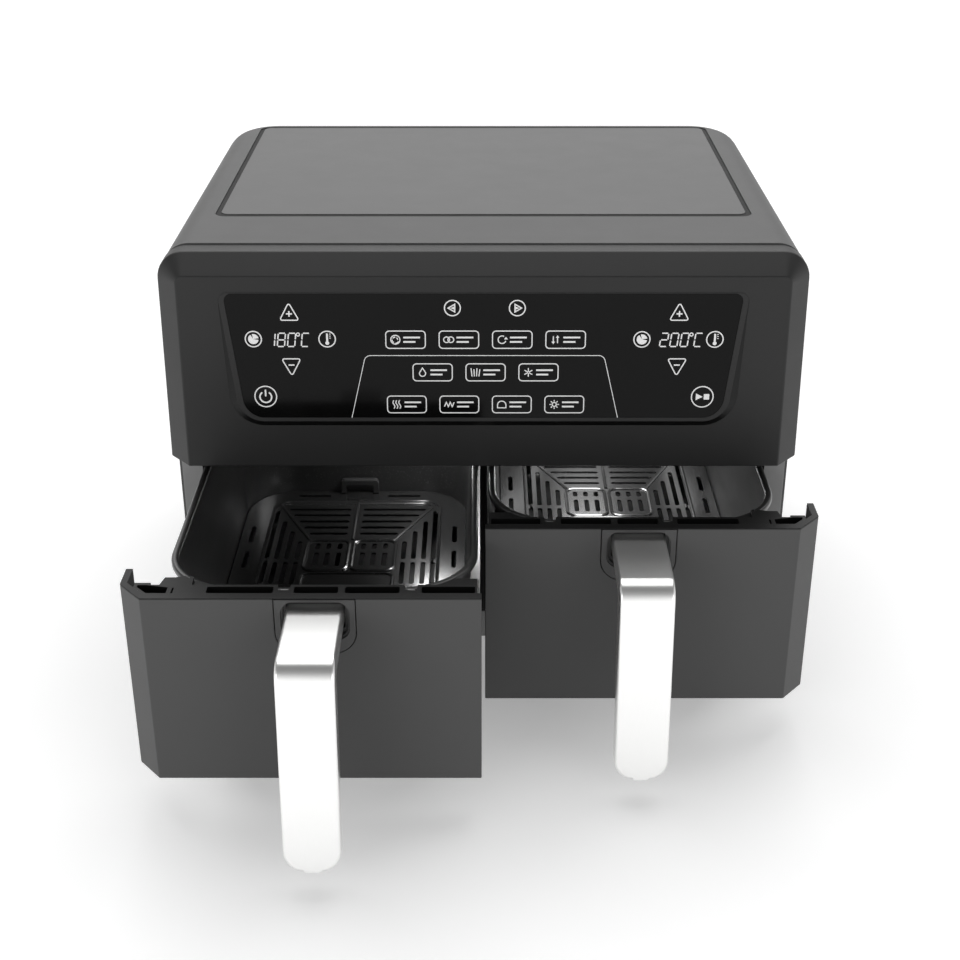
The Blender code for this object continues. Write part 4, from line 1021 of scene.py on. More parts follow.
def panel_wedge(name, outline, back, lift):
    """A plate behind the panel's sloping front, standing out of it by a lift."""
    rear = [(x, back, z) for x, z in outline]
    front = [(x, glass_front(z) - lift, z) for x, z in outline]
    return loft(name, [rear, front])


def build_panel():
    """The raised rim, the slope of painted shade round it and the glass inside it."""
    chosen = settings("panel")
    rim_outline = panel_outline(chosen.rim, chosen.chin, PANEL_BROW)
    rim = panel_wedge("panel_rim", rim_outline, PANEL_BACK, 0.0)
    cut(rim, panel_wedge("glass_pocket", panel_outline(FIT / 2, FIT / 2, FIT / 2), 0.01, 0.01))
    soften(rim, 0.0005, 3, 40.0)
    place(rim, MACHINE, ROOT, "bezel_plastic", "control_bezel", finish="head_plastic", sharp=50.0)
    # Painted shade: the slope round the rim is near-black plastic standing for the shadow down the
    # rim's proud side.
    skirt = panel_skirt(rim_outline)
    inner = panel_outline(chosen.rim + 0.0001, chosen.chin + 0.0001, PANEL_BROW + 0.0001)
    cut(skirt, panel_wedge("rim_space", inner, 0.01, 0.01))
    place(skirt, MACHINE, ROOT, "bezel_plastic", sharp=50.0)
    glass = panel_wedge("panel_glass", panel_outline(0.0, 0.0, 0.0), PANEL_BACK, -GLASS_SINK)
    place(glass, MACHINE, ROOT, "control_glass", "control_glass", sharp=50.0)


def panel_skirt(rim_outline):
    """A slope from the rim's front edge out to the face, as wide as the rim is proud, in painted
    shade.
    """
    chosen = settings("panel")
    grow = chosen.skirt
    wide = panel_outline(chosen.rim + grow, chosen.chin + grow, PANEL_BROW + grow)
    foot, brow = [], []
    for near, far in zip(rim_outline, wide):
        share = min(1.0, 2.0 * raised_share(near[1]))
        x, z = (here + (there - here) * share for here, there in zip(near, far))
        foot.append((x, -0.00006, z))
        brow.append((near[0], min(glass_front(near[1]) + 0.0008, -0.0002), near[1]))
    return loft("panel_skirt", [foot, brow])


# Printed symbols: drawn in (x, z) on the glass


PRINT_LIFT = 0.00008


def on_glass(point, lift):
    return (point[0], glass_front(point[1]) + GLASS_SINK - lift, point[1])


def add_patch(bm, outline):
    """A filled printed shape."""
    under = [on_glass(point, -PRINT_LIFT) for point in outline]
    over = [on_glass(point, PRINT_LIFT) for point in outline]
    add_loft(bm, [under, over])


def add_line(bm, line, width, closed=False):
    """A printed line with mitred corners."""
    points = [Vector(point) for point in line]
    count = len(points)
    rings = []
    for index, point in enumerate(points):
        ways = []
        if closed or index > 0:
            ways.append((point - points[index - 1]).normalized())
        if closed or index < count - 1:
            ways.append((points[(index + 1) % count] - point).normalized())
        way = sum(ways, Vector((0.0, 0.0))).normalized()
        across = Vector((-way.y, way.x)) * width / 2 / max(0.3, way.dot(ways[0]))
        one, other = point + across, point - across
        rings.append(
            [
                on_glass(one, PRINT_LIFT),
                on_glass(other, PRINT_LIFT),
                on_glass(other, -PRINT_LIFT),
                on_glass(one, -PRINT_LIFT),
            ]
        )
    add_loft(bm, rings, closed)


def arc(centre, radius, start, end, steps=16):
    line = []
    for step in range(steps + 1):
        angle = math.radians(start + (end - start) * step / steps)
        line.append((centre[0] + radius * math.cos(angle), centre[1] + radius * math.sin(angle)))
    return line


def circle(centre, radius, steps=28):
    return arc(centre, radius, 0, 360, steps)[:-1]


def add_triangle_key(bm, centre, up, width):
    """A rounded triangle with a plus or a minus in it."""
    x, z = centre
    flip = 1 if up else -1
    base = z - 0.0052 * flip
    corners = [(x - 0.0058, base), (x + 0.0058, base), (x, z + 0.0058 * flip)]
    if not up:
        corners.reverse()
    add_line(bm, rounded(corners, [0.0009] * 3, 4), width, True)
    mark = z - 0.0012 * flip
    add_line(bm, [(x - 0.0018, mark), (x + 0.0018, mark)], width * 1.2)
    if up:
        add_line(bm, [(x, mark + 0.0018), (x, mark + width * 0.6)], width * 1.2)
        add_line(bm, [(x, mark - width * 0.6), (x, mark - 0.0018)], width * 1.2)


def add_clock(bm, centre, width):
    add_patch(bm, [centre, *arc(centre, 0.0032, 10, 104, 10)])
    add_patch(bm, [centre, *arc(centre, 0.0032, 122, 350, 24)])
    add_line(bm, circle(centre, 0.0049), width, True)


def add_thermometer(bm, centre, width):
    x, z = centre
    add_line(bm, circle(centre, 0.0050), width, True)
    add_patch(bm, rectangle((x - 0.0006, z - 0.0016), (x + 0.0006, z + 0.0036), 0.0005, 3))
    add_patch(bm, circle((x, z - 0.0025), 0.0012, 14))
    for rung in range(3):
        level = z + 0.0006 + rung * 0.0013
        add_line(bm, [(x + 0.0013, level), (x + 0.0022, level)], width * 0.7)


def add_power(bm, centre, width):
    x, z = centre
    add_line(bm, circle(centre, 0.0067), width, True)
    add_line(bm, arc((x, z - 0.0003), 0.0036, 125, 415, 22), width * 1.3)
    add_line(bm, [(x, z + 0.0001), (x, z + 0.0045)], width * 1.3)


def add_start_stop(bm, centre, width):
    x, z = centre
    add_line(bm, circle(centre, 0.0067), width, True)
    add_patch(bm, [(x - 0.0040, z - 0.0022), (x + 0.0003, z), (x - 0.0040, z + 0.0022)])
    add_patch(bm, rectangle((x + 0.0009, z - 0.0018), (x + 0.0043, z + 0.0018), 0.0003, 2))


def add_arrow_key(bm, centre, way, width):
    x, z = centre
    add_line(bm, circle(centre, 0.0048), width, True)
    tip = (x + way * 0.0026, z)
    base = x - way * 0.0014
    corners = [tip, (base, z + 0.0024), (base, z - 0.0024)]
    add_line(bm, corners, width, True)
    heel = base + way * 0.0004
    add_patch(bm, [(x + way * 0.0012, z), (heel, z + 0.0009), (heel, z - 0.0009)])


SEGMENTS = {
    "0": "abcdef",
    "1": "bc",
    "2": "abdeg",
    "8": "abcdefg",
    "C": "adef",
}


def add_numeral(bm, centre, sign, width):
    """A slanted seven-segment numeral."""
    x, z = centre
    half, tall, gap = 0.0022, 0.0042, 0.0004
    ends = {
        "a": ((-half, tall), (half, tall)),
        "b": ((half, tall), (half, 0.0)),
        "c": ((half, 0.0), (half, -tall)),
        "d": ((-half, -tall), (half, -tall)),
        "e": ((-half, 0.0), (-half, -tall)),
        "f": ((-half, tall), (-half, 0.0)),
        "g": ((-half, 0.0), (half, 0.0)),
    }
    for segment in SEGMENTS[sign]:
        start, end = (Vector(point) for point in ends[segment])
        way = (end - start).normalized() * gap
        line = []
        for point in (start + way, end - way):
            line.append((x + point.x + 0.12 * point.y, z + point.y))
        add_line(bm, line, width)


def add_reading(bm, centre, signs, width):
    x, z = centre
    pitch = 0.0062
    for index, sign in enumerate(signs):
        add_numeral(bm, (x + index * pitch, z), sign, width)
    ring = (x + len(signs) * pitch - 0.0022, z + 0.0034)
    add_line(bm, circle(ring, 0.0010, 12), width * 0.8, True)
    add_numeral(bm, (x + len(signs) * pitch + 0.0022, z), "C", width)


def add_rays(bm, centre, count, inner, outer, width):
    for ray in range(count):
        angle = 2 * math.pi * ray / count + math.pi / 2
        way = Vector((math.cos(angle), math.sin(angle)))
        start, end = Vector(centre) + way * inner, Vector(centre) + way * outer
        add_line(bm, [start, end], width)


def add_waves(bm, centre, count, width):
    x, z = centre
    for wave in range(count):
        line = []
        for step in range(9):
            share = step / 8
            sway = 0.0006 * math.sin(2 * math.pi * share)
            column = x + (wave - (count - 1) / 2) * 0.0018
            line.append((column + sway, z - 0.0027 + 0.0054 * share))
        add_line(bm, line, width)


def add_pictogram(bm, kind, centre, width):
    """One of the plain pictograms that stand for the cooking programmes."""
    x, z = centre
    if kind == "fan":
        for blade in range(4):
            start = 90 * blade
            add_line(bm, arc(centre, 0.0014 + 0.0003 * blade, start, start + 60, 5), width)
        add_line(bm, circle(centre, 0.0028, 20), width, True)
    elif kind == "link":
        add_line(bm, circle((x - 0.0013, z), 0.0018, 16), width, True)
        add_line(bm, circle((x + 0.0013, z), 0.0018, 16), width, True)
    elif kind == "loop":
        add_line(bm, arc(centre, 0.0024, 60, 340, 16), width)
        base = z + 0.0002
        add_patch(bm, [(x + 0.0036, base), (x + 0.0012, base), (x + 0.0024, z + 0.0018)])
    elif kind == "turn":
        for way in (-1, 1):
            column = x + way * 0.0013
            base = z + 0.0012 * way
            add_line(bm, [(column, z - 0.0022 * way), (column, base)], width)
            tip = (column, z + 0.0028 * way)
            add_patch(bm, [(column - 0.0011, base), (column + 0.0011, base), tip])
    elif kind == "sticks":
        for stick in range(4):
            low = (x + (stick - 1.5) * 0.0014, z - 0.0026)
            high = (x + (stick - 1.5) * 0.0018, z + 0.0026 - 0.0006 * (stick % 2))
            add_line(bm, [low, high], width)
    elif kind == "flake":
        add_rays(bm, centre, 6, 0.0004, 0.0028, width)
    elif kind == "drop":
        belly = arc((x, z - 0.0007), 0.0019, -225, 45, 14)
        add_line(bm, belly + [(x, z + 0.0028)], width, True)
    elif kind == "waves":
        add_waves(bm, centre, 3, width)
    elif kind == "coil":
        line = []
        for step in range(6):
            line.append((x - 0.003 + 0.0012 * step, z + (0.0014 if step % 2 else -0.0014)))
        add_line(bm, line, width)
    elif kind == "loaf":
        crust = arc((x, z - 0.0004), 0.0026, 0, 180, 12)
        base = z - 0.0022
        add_line(bm, crust + [(x - 0.0026, base), (x + 0.0026, base)], width, True)
    else:
        add_line(bm, circle(centre, 0.0013, 14), width, True)
        add_rays(bm, centre, 8, 0.0019, 0.0029, width)


def add_touch_key(bm, centre, kind):
    """A touch key: its frame, a pictogram and two short rules."""
    chosen = settings("panel")
    x, z = centre
    half, tall = chosen.button_width / 2, chosen.button_height / 2
    width = chosen.line
    outline = rectangle((x - half, z - tall), (x + half, z + tall), 0.0022, 5)
    add_line(bm, outline, width * 0.9, True)
    add_pictogram(bm, kind, (x - 0.0062, z), width * 0.9)
    add_line(bm, [(x - 0.0014, z + 0.0014), (x + 0.0088, z + 0.0014)], width * 1.5)
    add_line(bm, [(x - 0.0014, z - 0.0014), (x + 0.0060, z - 0.0014)], width * 1.5)


TOUCH_KEYS = (
    (-1.46, 2, "fan"),
    (-0.46, 2, "link"),
    (0.54, 2, "loop"),
    (1.54, 2, "turn"),
    (-0.96, 1, "drop"),
    (0.04, 1, "sticks"),
    (1.04, 1, "flake"),
    (-1.46, 0, "waves"),
    (-0.46, 0, "coil"),
    (0.54, 0, "loaf"),
    (1.54, 0, "sun"),
)


def build_print():
    chosen = settings("panel")
    width = chosen.line
    low, high = machine_box("control_glass")
    bm = bmesh.new()
    for column, row, kind in TOUCH_KEYS:
        z = low.z + 0.0110 + row * chosen.row_pitch
        add_touch_key(bm, (column * chosen.button_pitch, z), kind)
    lower = low.z + 0.0023
    upper = lower + 0.0404
    fold = [(-0.0815, lower), (-0.0720, upper), (0.0735, upper), (0.0831, lower)]
    rounded_fold = rounded(fold, [0, 0.004, 0.004, 0], 6)
    add_line(bm, rounded_fold, width * 0.6)
    reading = high.z - 0.0289
    for centre in (-0.1173, 0.1182):
        add_triangle_key(bm, (centre, high.z - 0.0113), True, width)
        add_triangle_key(bm, (centre, high.z - 0.0462), False, width)
    add_clock(bm, (-0.1397, high.z - 0.0284), width)
    add_thermometer(bm, (-0.0949, high.z - 0.0284), width)
    add_reading(bm, (-0.1289, reading), "180", width * 1.1)
    add_clock(bm, (0.0962, high.z - 0.0286), width)
    add_thermometer(bm, (0.1405, high.z - 0.0286), width)
    add_reading(bm, (0.1097, reading), "200", width * 1.1)
    add_power(bm, (-0.1342, low.z + 0.0162), width)
    add_start_stop(bm, (0.1349, low.z + 0.0160), width)
    add_arrow_key(bm, (-0.0187, high.z - 0.0089), -1, width)
    add_arrow_key(bm, (0.0204, high.z - 0.0089), 1, width)
    symbols = solid("panel_symbols", bm)
    place(symbols, MACHINE, ROOT, "control_glass", finish="print", sharp=60.0)


# Base, frame and back


FRAME_BORDER = 0.0134
FRAME_FLANGE = 0.0009
FRAME_FLANGE_HALF = 0.1968


def build_front_frame():
    low, high = machine_box("front_frame")
    floor_low, _ = machine_box("centre_post")
    ring = block("drawer_surround", low, high)
    inside = high.x - FRAME_BORDER
    opening = block(
        "opening", (-inside, low.y - BEYOND, floor_low.z - FIT), (inside, high.y + BEYOND, BEYOND)
    )
    flange = block(
        "flange",
        (-FRAME_FLANGE_HALF, high.y - FRAME_FLANGE, low.z),
        (FRAME_FLANGE_HALF, high.y, high.z),
    )
    join(ring, flange)
    cut(ring, opening)
    soften(ring, 0.0004, 3)
    place(ring, MACHINE, ROOT, "frame_plastic", "front_frame")
    low, high = machine_box("centre_post")
    post = block("pan_divider", low, high)
    rib = 0.0009
    ribs = bars(
        "divider_ribs",
        3,
        (low.x + rib, low.y, (low.z + high.z) / 2),
        (high.x - rib, 0.0, 0.0),
        (rib, 2 * rib, high.z - low.z - 4 * rib),
    )
    join(post, ribs)
    soften(post, 0.0002, 2)
    place(post, MACHINE, ROOT, "dark_plastic", "centre_post")


def build_base():
    low, high = machine_box("base_plate")
    corner = settings("head").rear_corner - settings("head").wall
    corners = [(low.x, low.y), (high.x, low.y), (high.x, high.y), (low.x, high.y)]
    outline = rounded(corners, [0, 0, corner, corner], 12)
    plate = prism("underside", outline, 2, low.z, high.z)
    vents = []
    for column in range(-6, 7):
        for row in (-1, 0, 1):
            vents.append((column * 0.018, (low.y + high.y) / 2 + row * 0.062, 2 * low.z - high.z))
    cut(plate, slots("underside_vents", vents, 0.004, 0.040, 0.012))
    soften(plate, 0.0005, 2)
    place(plate, MACHINE, ROOT, "body_plastic", "base_plate", finish="dark_plastic")
    points = []
    for x in (low.x + 0.020, 0.0, high.x - 0.020):
        for y in (low.y + 0.012, high.y - 0.012):
            inward = 0.030 if x and y > (low.y + high.y) / 2 else 0.0
            points.append((x - math.copysign(inward, x), y, low.z + 0.0002))
    heads = screws("underside_screws", points, 0.0032, 0.0016, (math.pi, 0.0, 0.0))
    place(heads, MACHINE, ROOT, "bright_steel")
    for end in ("front", "rear"):
        for side in SIDES:
            build_foot(f"{end}_{side}_foot")


def build_foot(node):
    low, high = machine_box(node)
    radius = (high.x - low.x) / 2
    centre = ((low.x + high.x) / 2, (low.y + high.y) / 2)
    levels = [
        (radius - 0.0055, low.z + 0.0016),
        (radius - 0.0050, low.z + 0.0004),
        (radius - 0.0042, low.z),
        (radius - 0.0026, low.z),
        (radius - 0.0016, low.z + 0.0004),
        (radius - 0.0003, low.z + 0.0024),
        (radius, low.z + 0.0040),
        (radius, high.z - 0.0006),
        (radius - 0.0006, high.z),
    ]
    foot = stack(f"rubber_{node}", levels, centre)
    place(foot, MACHINE, ROOT, "rubber", node)


def build_back():
    low, high = machine_box("rear_cover")
    outline = rectangle((low.x, low.z), (high.x, high.z), 0.006, 8)
    cover = prism("rear_grille", outline, 1, low.y, high.y)
    middle = (low.z + high.z) / 2
    points = []
    for side in SIDES.values():
        for index in range(9):
            points.append((side * (0.0294 + index * 0.011), middle, -high.y - 0.004))
    vents = slots("rear_vents", points, 0.004, 0.050, 0.012)
    vents.data.transform(Matrix.Rotation(math.pi / 2, 4, "X"))
    outer, inner = (
        rectangle((low.x + inset, low.z + inset), (high.x - inset, high.z - inset), radius, 8)
        for inset, radius in ((0.006, 0.004), (0.0068, 0.0036))
    )
    groove = prism("groove", outer, 1, high.y - 0.0008, high.y + 0.004)
    cut(groove, prism("groove_core", inner, 1, high.y - 0.002, high.y + 0.006))
    cut(cover, vents, groove)
    soften(cover, 0.0005, 2)
    place(cover, MACHINE, ROOT, "body_plastic", "rear_cover")
    points = []
    for x in (low.x + 0.014, 0.0, high.x - 0.014):
        for z in (low.z + 0.014, high.z - 0.014):
            points.append((x, high.y, z))
    heads = screws("rear_screws", points, 0.0034, 0.0018, (-math.pi / 2, 0.0, 0.0))
    place(heads, MACHINE, ROOT, "bright_steel")
    build_inlet()


def build_inlet():
    low, high = machine_box("cord_inlet")
    centre = ((low.x + high.x) / 2, (low.z + high.z) / 2)
    flange = (high.x - low.x) / 2
    neck = INLET_NECK
    bore = 0.0037
    back = machine_box("outer_housing")[1].y
    levels = [
        (neck, low.y),
        (neck, back + FIT),
        (flange - 0.0006, back + FIT),
        (flange, back + 0.0009),
        (flange, back + 0.0030),
        (flange - 0.0012, back + 0.0040),
        (neck + 0.0012, back + 0.0046),
        (neck, back + 0.0056),
        (neck - 0.0006, high.y - 0.0006),
        (neck - 0.0014, high.y),
        (bore + 0.0008, high.y),
        (bore, high.y - 0.0008),
        (bore, low.y),
    ]
    bm = bmesh.new()
    rings = []
    for radius, depth in levels:
        rings.append([(x, depth, z) for x, z in circle(centre, radius, 40)])
    add_loft(bm, rings, closed=True)
    place(solid("cord_bush", bm), MACHINE, ROOT, "rubber", "cord_inlet")


# Drawers


def zone():
    return drawer_origin("right").x


def mirrored(side, points):
    """Points given by their distance from the machine's middle plane, in the drawer's frame."""
    return [(SIDES[side] * (across - zone()), depth) for across, depth in points]


def drawer_prism(name, side, points, low, high):
    return prism(name, mirrored(side, points), 2, low, high)


def hub_outline(grow, top):
    low, high = drawer_box("right", "handle_hub")
    corner = 0.013 + grow
    left, right, bottom = low.x - grow, high.x + grow, low.z - grow
    corners = [(left, bottom), (right, bottom), (right, top), (left, top)]
    return rounded(corners, [corner, corner, 0, 0], 12)


def build_drawer_front(side):
    chosen = settings("drawer")
    head = settings("head")
    low, high = drawer_box(side, "drawer_front")
    face_half = HEAD_HALF - head.chamfer_side
    slope = head.chamfer_depth / head.chamfer_side
    chamfer_width = math.hypot(head.chamfer_side, head.chamfer_depth)
    inner_line = face_half - chosen.wing_thick * chamfer_width / head.chamfer_depth
    wing_inside = HEAD_HALF - chosen.wing_thick
    split = 0.001
    plan = [
        (split, 0.0),
        (face_half, 0.0),
        (HEAD_HALF, head.chamfer_depth),
        (HEAD_HALF, high.y),
        (wing_inside, high.y),
        (wing_inside, (wing_inside - inner_line) * slope),
        (inner_line + chosen.panel_thick / slope, chosen.panel_thick),
        (split, chosen.panel_thick),
    ]
    cap = drawer_prism(f"{side}_front_cap", side, plan, high.z - chosen.cap, high.z)
    soften(cap, 0.0003, 2)
    place(cap, drawer_origin(side), f"{side}_drawer", "dark_plastic")
    front = drawer_prism(f"{side}_front", side, plan, low.z, high.z - chosen.cap - FIT / 2)
    notch = hub_outline(0.0004, 2 * chosen.panel_thick)
    cut(front, prism("hub_notch", notch, 1, -chosen.panel_thick, 2 * chosen.panel_thick))
    soften(front, 0.0006, 3)
    place(front, drawer_origin(side), f"{side}_drawer", "front_plastic", f"{side}_drawer_front")


HUB_BOSSES = ((0.0055, 0.0093, -0.0070), (0.0090, 0.0184, -0.0115))
BRACKET_POCKETS = ((4.4, 34.0), (46.0, 76.0), (79.7, 104.0), (115.3, 152.0))
HOOK_NOTCHES = (39.75, 109.75)


def build_bracket(side):
    """The moulding behind the front: pockets along its top, ears by the pan's corners, a skirt."""
    low, high = drawer_box(side, "drawer_bracket")
    pan_low, pan_high = drawer_box(side, "pan")
    front = low.y
    bar_back = pan_low.y - 2 * FIT
    top = high.z
    bottom = low.z
    deep = top - 0.028
    near = 0.00325
    bar = drawer_prism(
        f"{side}_bracket",
        side,
        [(near, front), (0.1725, front), (0.1725, bar_back), (near, bar_back)],
        deep,
        top,
    )
    skirt = drawer_prism(
        "skirt",
        side,
        [(near, front), (0.1835, front), (0.1835, front + 0.003), (near, front + 0.003)],
        bottom,
        deep + 0.002,
    )
    end_box = drawer_prism(
        "end_box",
        side,
        [
            (0.1705, front),
            (0.1852, front),
            (0.1928, 0.0149),
            (0.1928, 0.0205),
            (0.1840, 0.0205),
            (0.1840, bar_back),
            (0.1705, bar_back),
        ],
        deep,
        top,
    )
    ear = drawer_prism(
        "ear",
        side,
        [
            (0.150, bar_back - 0.002),
            (0.181, bar_back - 0.002),
            (0.1798, 0.0215),
            (0.1780, 0.0300),
            (0.1722, 0.0300),
            (0.166, 0.0320),
            (0.150, 0.0320),
        ],
        -0.0085,
        -0.0060,
    )
    inner_ear = drawer_prism(
        "inner_ear",
        side,
        [(near, bar_back - 0.002), (0.040, bar_back - 0.002), (0.040, 0.0320), (near, 0.0320)],
        -0.0105,
        -0.0080,
    )
    rib = drawer_prism(
        "ear_rib",
        side,
        [(0.1603, front + 0.002), (0.1624, front + 0.002), (0.1634, 0.0280), (0.1613, 0.0280)],
        -0.0080,
        top,
    )
    join(bar, skirt, end_box, ear, inner_ear, rib)
    chosen = settings("drawer")
    pan_hole = rectangle(
        (pan_low.x - FIT, pan_low.y - FIT),
        (pan_high.x + FIT, pan_high.y + FIT),
        chosen.pan_corner + FIT,
        16,
    )
    tools = [prism("pan_hole", pan_hole, 2, -0.030, BEYOND)]
    for start, end in BRACKET_POCKETS:
        corners = mirrored(side, [(start * MM, 0.0093), (end * MM, 0.0162)])
        lows = [min(a, b) for a, b in zip(*corners)]
        highs = [max(a, b) for a, b in zip(*corners)]
        behind_hub = start * MM < zone() < end * MM
        deepest = 0.0068 if behind_hub else 0.020
        tools.append(prism("pocket", rectangle(lows, highs, 0.0012, 4), 2, top - deepest, BEYOND))
    end_pocket = [
        (0.1737, 0.0088),
        (0.1842, 0.0088),
        (0.1908, 0.0158),
        (0.1908, 0.0180),
        (0.1858, 0.0180),
        (0.1737, 0.0155),
    ]
    tools.append(drawer_prism("end_pocket", side, end_pocket, top - 0.020, BEYOND))
    for middle in HOOK_NOTCHES:
        at = middle * MM
        notch = [
            (at - 0.0028, 0.0125),
            (at + 0.0028, 0.0125),
            (at + 0.0042, 0.022),
            (at - 0.0042, 0.022),
        ]
        tools.append(drawer_prism("hook_notch", side, notch, top - 0.0060, BEYOND))
    groove = [(0.1702, 0.0080), (0.1712, 0.0080), (0.1712, 0.0150), (0.1702, 0.0150)]
    tools.append(drawer_prism("end_groove", side, groove, top - 0.004, BEYOND))
    half = drawer_box(side, "handle_hub")[1].x - 0.004
    for depth_low, depth_high, roof in HUB_BOSSES:
        tools.append(
            block(
                "hub_space",
                (-half - FIT, depth_low - FIT, -0.0300 - FIT),
                (half + FIT, depth_high + FIT, roof + FIT),
            )
        )
    cut(bar, *tools)
    soften(bar, 0.0004, 2)
    place(bar, drawer_origin(side), f"{side}_drawer", "dark_plastic", f"{side}_drawer_bracket")
    build_hooks(side, top)


def build_hooks(side, top):
    """The two light tabs that catch the pan's rim in the bracket's notches."""
    hooks = None
    for middle in HOOK_NOTCHES:
        at = middle * MM
        low_z = top - 0.0058
        profile = [
            (0.0138, low_z),
            (0.0182, low_z),
            (0.0182, low_z + 0.0028),
            (0.0165, low_z + 0.0040),
            (0.0138, low_z + 0.0032),
        ]
        near, far = sorted(x for x, _ in mirrored(side, [(at - 0.0021, 0.0), (at + 0.0021, 0.0)]))
        tab = prism(f"{side}_pan_hooks", profile, 0, near, far)
        hooks = tab if hooks is None else join(hooks, tab)
    soften(hooks, 0.0004, 2)
    place(hooks, drawer_origin(side), f"{side}_drawer", "frame_plastic")


def build_pan(side):
    """A deep pan: a rolled rim, walls that draw in towards the bottom and a ledge for the tray."""
    chosen = settings("drawer")
    low, high = drawer_box(side, "pan")
    tray_low, _ = drawer_box(side, "crisper_tray")
    ledge = tray_low.z - FIT
    draft = 0.0038
    wall = chosen.pan_wall
    rim = chosen.rim_width
    deep = rim + draft
    well = deep + chosen.ledge

    def ring(shrink, height):
        corners = ((low.x + shrink, low.y + shrink), (high.x - shrink, high.y - shrink))
        outline = rectangle(*corners, chosen.pan_corner - shrink, 16)
        return [(x, y, height) for x, y in outline]

    under = high.z - chosen.rim_height
    levels = [
        (well - wall + 0.0050, low.z),
        (well - wall + 0.0022, low.z + 0.0007),
        (well - wall + 0.0007, low.z + 0.0022),
        (well - wall, low.z + 0.0050),
        (well - wall, ledge - 3 * wall),
        (deep - wall + 0.0008, ledge - 1.6 * wall),
        (deep - wall, ledge - wall * 0.4),
        (rim - wall, under),
        (0.0010, under),
        (0.0003, under + 0.0003),
        (0.0, under + 0.0010),
        (0.0, high.z - 0.0012),
        (0.0004, high.z - 0.0004),
        (0.0012, high.z),
        (rim - 0.0016, high.z),
        (rim - 0.0005, high.z - 0.0005),
        (rim, high.z - 0.0016),
        (deep, ledge + 0.0012),
        (deep + 0.0005, ledge + 0.0003),
        (deep + 0.0014, ledge),
        (well - 0.0008, ledge),
        (well, ledge - 0.0008),
        (well, low.z + wall + 0.0040),
        (well + 0.0007, low.z + wall + 0.0016),
        (well + 0.0020, low.z + wall + 0.0004),
        (well + 0.0045, low.z + wall),
    ]
    pan = loft(f"{side}_basket", [ring(*level) for level in levels])
    place(pan, drawer_origin(side), f"{side}_drawer", "pan_coating", f"{side}_pan", sharp=50.0)


# Crisper trays


TRAY_COLUMNS = (36.5, 43.5, 50.5, 57.2)
TRAY_ROWS = (72.8, 82.0, 91.0, 100.5, 109.5)
MIDDLE_COLUMNS = (8.2, 15.9, 23.6)


def tray_slot_groups(half, half_length):
    """(x, y, length, across) of every slot, measured from the tray's middle."""
    spots = []
    for column in TRAY_COLUMNS:
        end = 61.5 + 2.13 * (column - TRAY_COLUMNS[0])
        for start, stop in ((2.2, 32.0), (36.2, end)):
            spots.append((column, (start + stop) / 2, stop - start, False))
    for row in TRAY_ROWS:
        reach = 30 + (row - 62.5) / 55 * 28 - 4.0
        spots.append(((4.4 + reach) / 2, row, reach - 4.4, True))
    for column in MIDDLE_COLUMNS:
        spots.append((column, 54.5, 8.0, False))
        spots.append((column, 36.0, 19.0, False))
    edge = half / MM - 7.4
    for middle in (0.01, 36.0, 72.0):
        spots.append((edge, middle, 24.0, False))
    spots.append((33.0, half_length / MM - 8.3, 24.0, True))
    return spots


def tray_cutters(side, half, half_length, middle, low, high):
    sizes = {}
    for x, y, long, across in tray_slot_groups(half, half_length):
        points = sizes.setdefault((round(long, 2), across), set())
        for flip_x in (-1, 1):
            for flip_y in (-1, 1):
                points.add((round(flip_x * x * MM, 6), round(middle + flip_y * y * MM, 6)))
    width = settings("drawer").slot_width
    cutters = []
    for (long, across), points in sizes.items():
        spots = [(x, y, low - 0.004) for x, y in sorted(points)]
        name = f"{side}_slots_{long}_{across}"
        cutters.append(slots(name, spots, width, long * MM, high - low + 0.008, across))
    return cutters


def tray_beads(side, half_length, middle, top):
    """Ridges pressed into the tray: rings, five cells in the middle, diagonals and a spine."""
    radius = settings("drawer").bead
    height = top - 0.0003
    outline = rectangle((-0.0605, middle - 0.1225), (0.0605, middle + 0.1225), 0.012, 6)
    inner = rectangle((-0.0565, middle - 0.1185), (0.0565, middle + 0.1185), 0.009, 6)
    centre = rectangle((-0.0305, middle - 0.0165), (0.0305, middle + 0.0165), 0.006, 6)
    paths = [(outline, True), (inner, True), (centre, True)]
    for flip in (-1, 1):
        for across in (-1, 1):
            near = (across * 0.0016, middle + flip * 0.0200)
            far = (across * 0.0305, middle + flip * 0.0625)
            start = (min(near[0], far[0]), min(near[1], far[1]))
            end = (max(near[0], far[0]), max(near[1], far[1]))
            paths.append((rectangle(start, end, 0.006, 6), True))
        spine_end = middle + flip * (half_length - 0.004)
        paths.append(([(0.0, middle + flip * 0.0640), (0.0, spine_end)], False))
        for across in (-1, 1):
            start = (across * 0.0285, middle + flip * 0.0610)
            paths.append(([start, (across * 0.0560, middle + flip * 0.1165)], False))
    beads = []
    for index, (line, closed) in enumerate(paths):
        points = [(x, y, height) for x, y in line]
        beads.append(tube(f"{side}_bead_{index}", points, radius, closed))
    return beads


def build_tray(side):
    chosen = settings("drawer")
    low, high = drawer_box(side, "crisper_tray")
    half = high.x
    half_length = (high.y - low.y) / 2
    middle = (high.y + low.y) / 2
    corner = chosen.pan_corner - (0.0885 - half)
    outline = rectangle((low.x, low.y), (high.x, high.y), corner, 14)
    tray = prism(f"{side}_crisper", outline, 2, low.z, high.z)
    beads = tray_beads(side, half_length, middle, high.z)
    combine(tray, beads, "UNION", "MANIFOLD")
    cutters = tray_cutters(side, half, half_length, middle, low.z, high.z)
    under = block("under_tray", (-BEYOND, -BEYOND, low.z - 0.01), (BEYOND, BEYOND, low.z))
    combine(tray, [*cutters, under], "DIFFERENCE", "MANIFOLD")
    place(tray, drawer_origin(side), f"{side}_tray", "tray_coating", f"{side}_crisper_tray")
    for end in ("front", "rear"):
        build_clip(side, end)


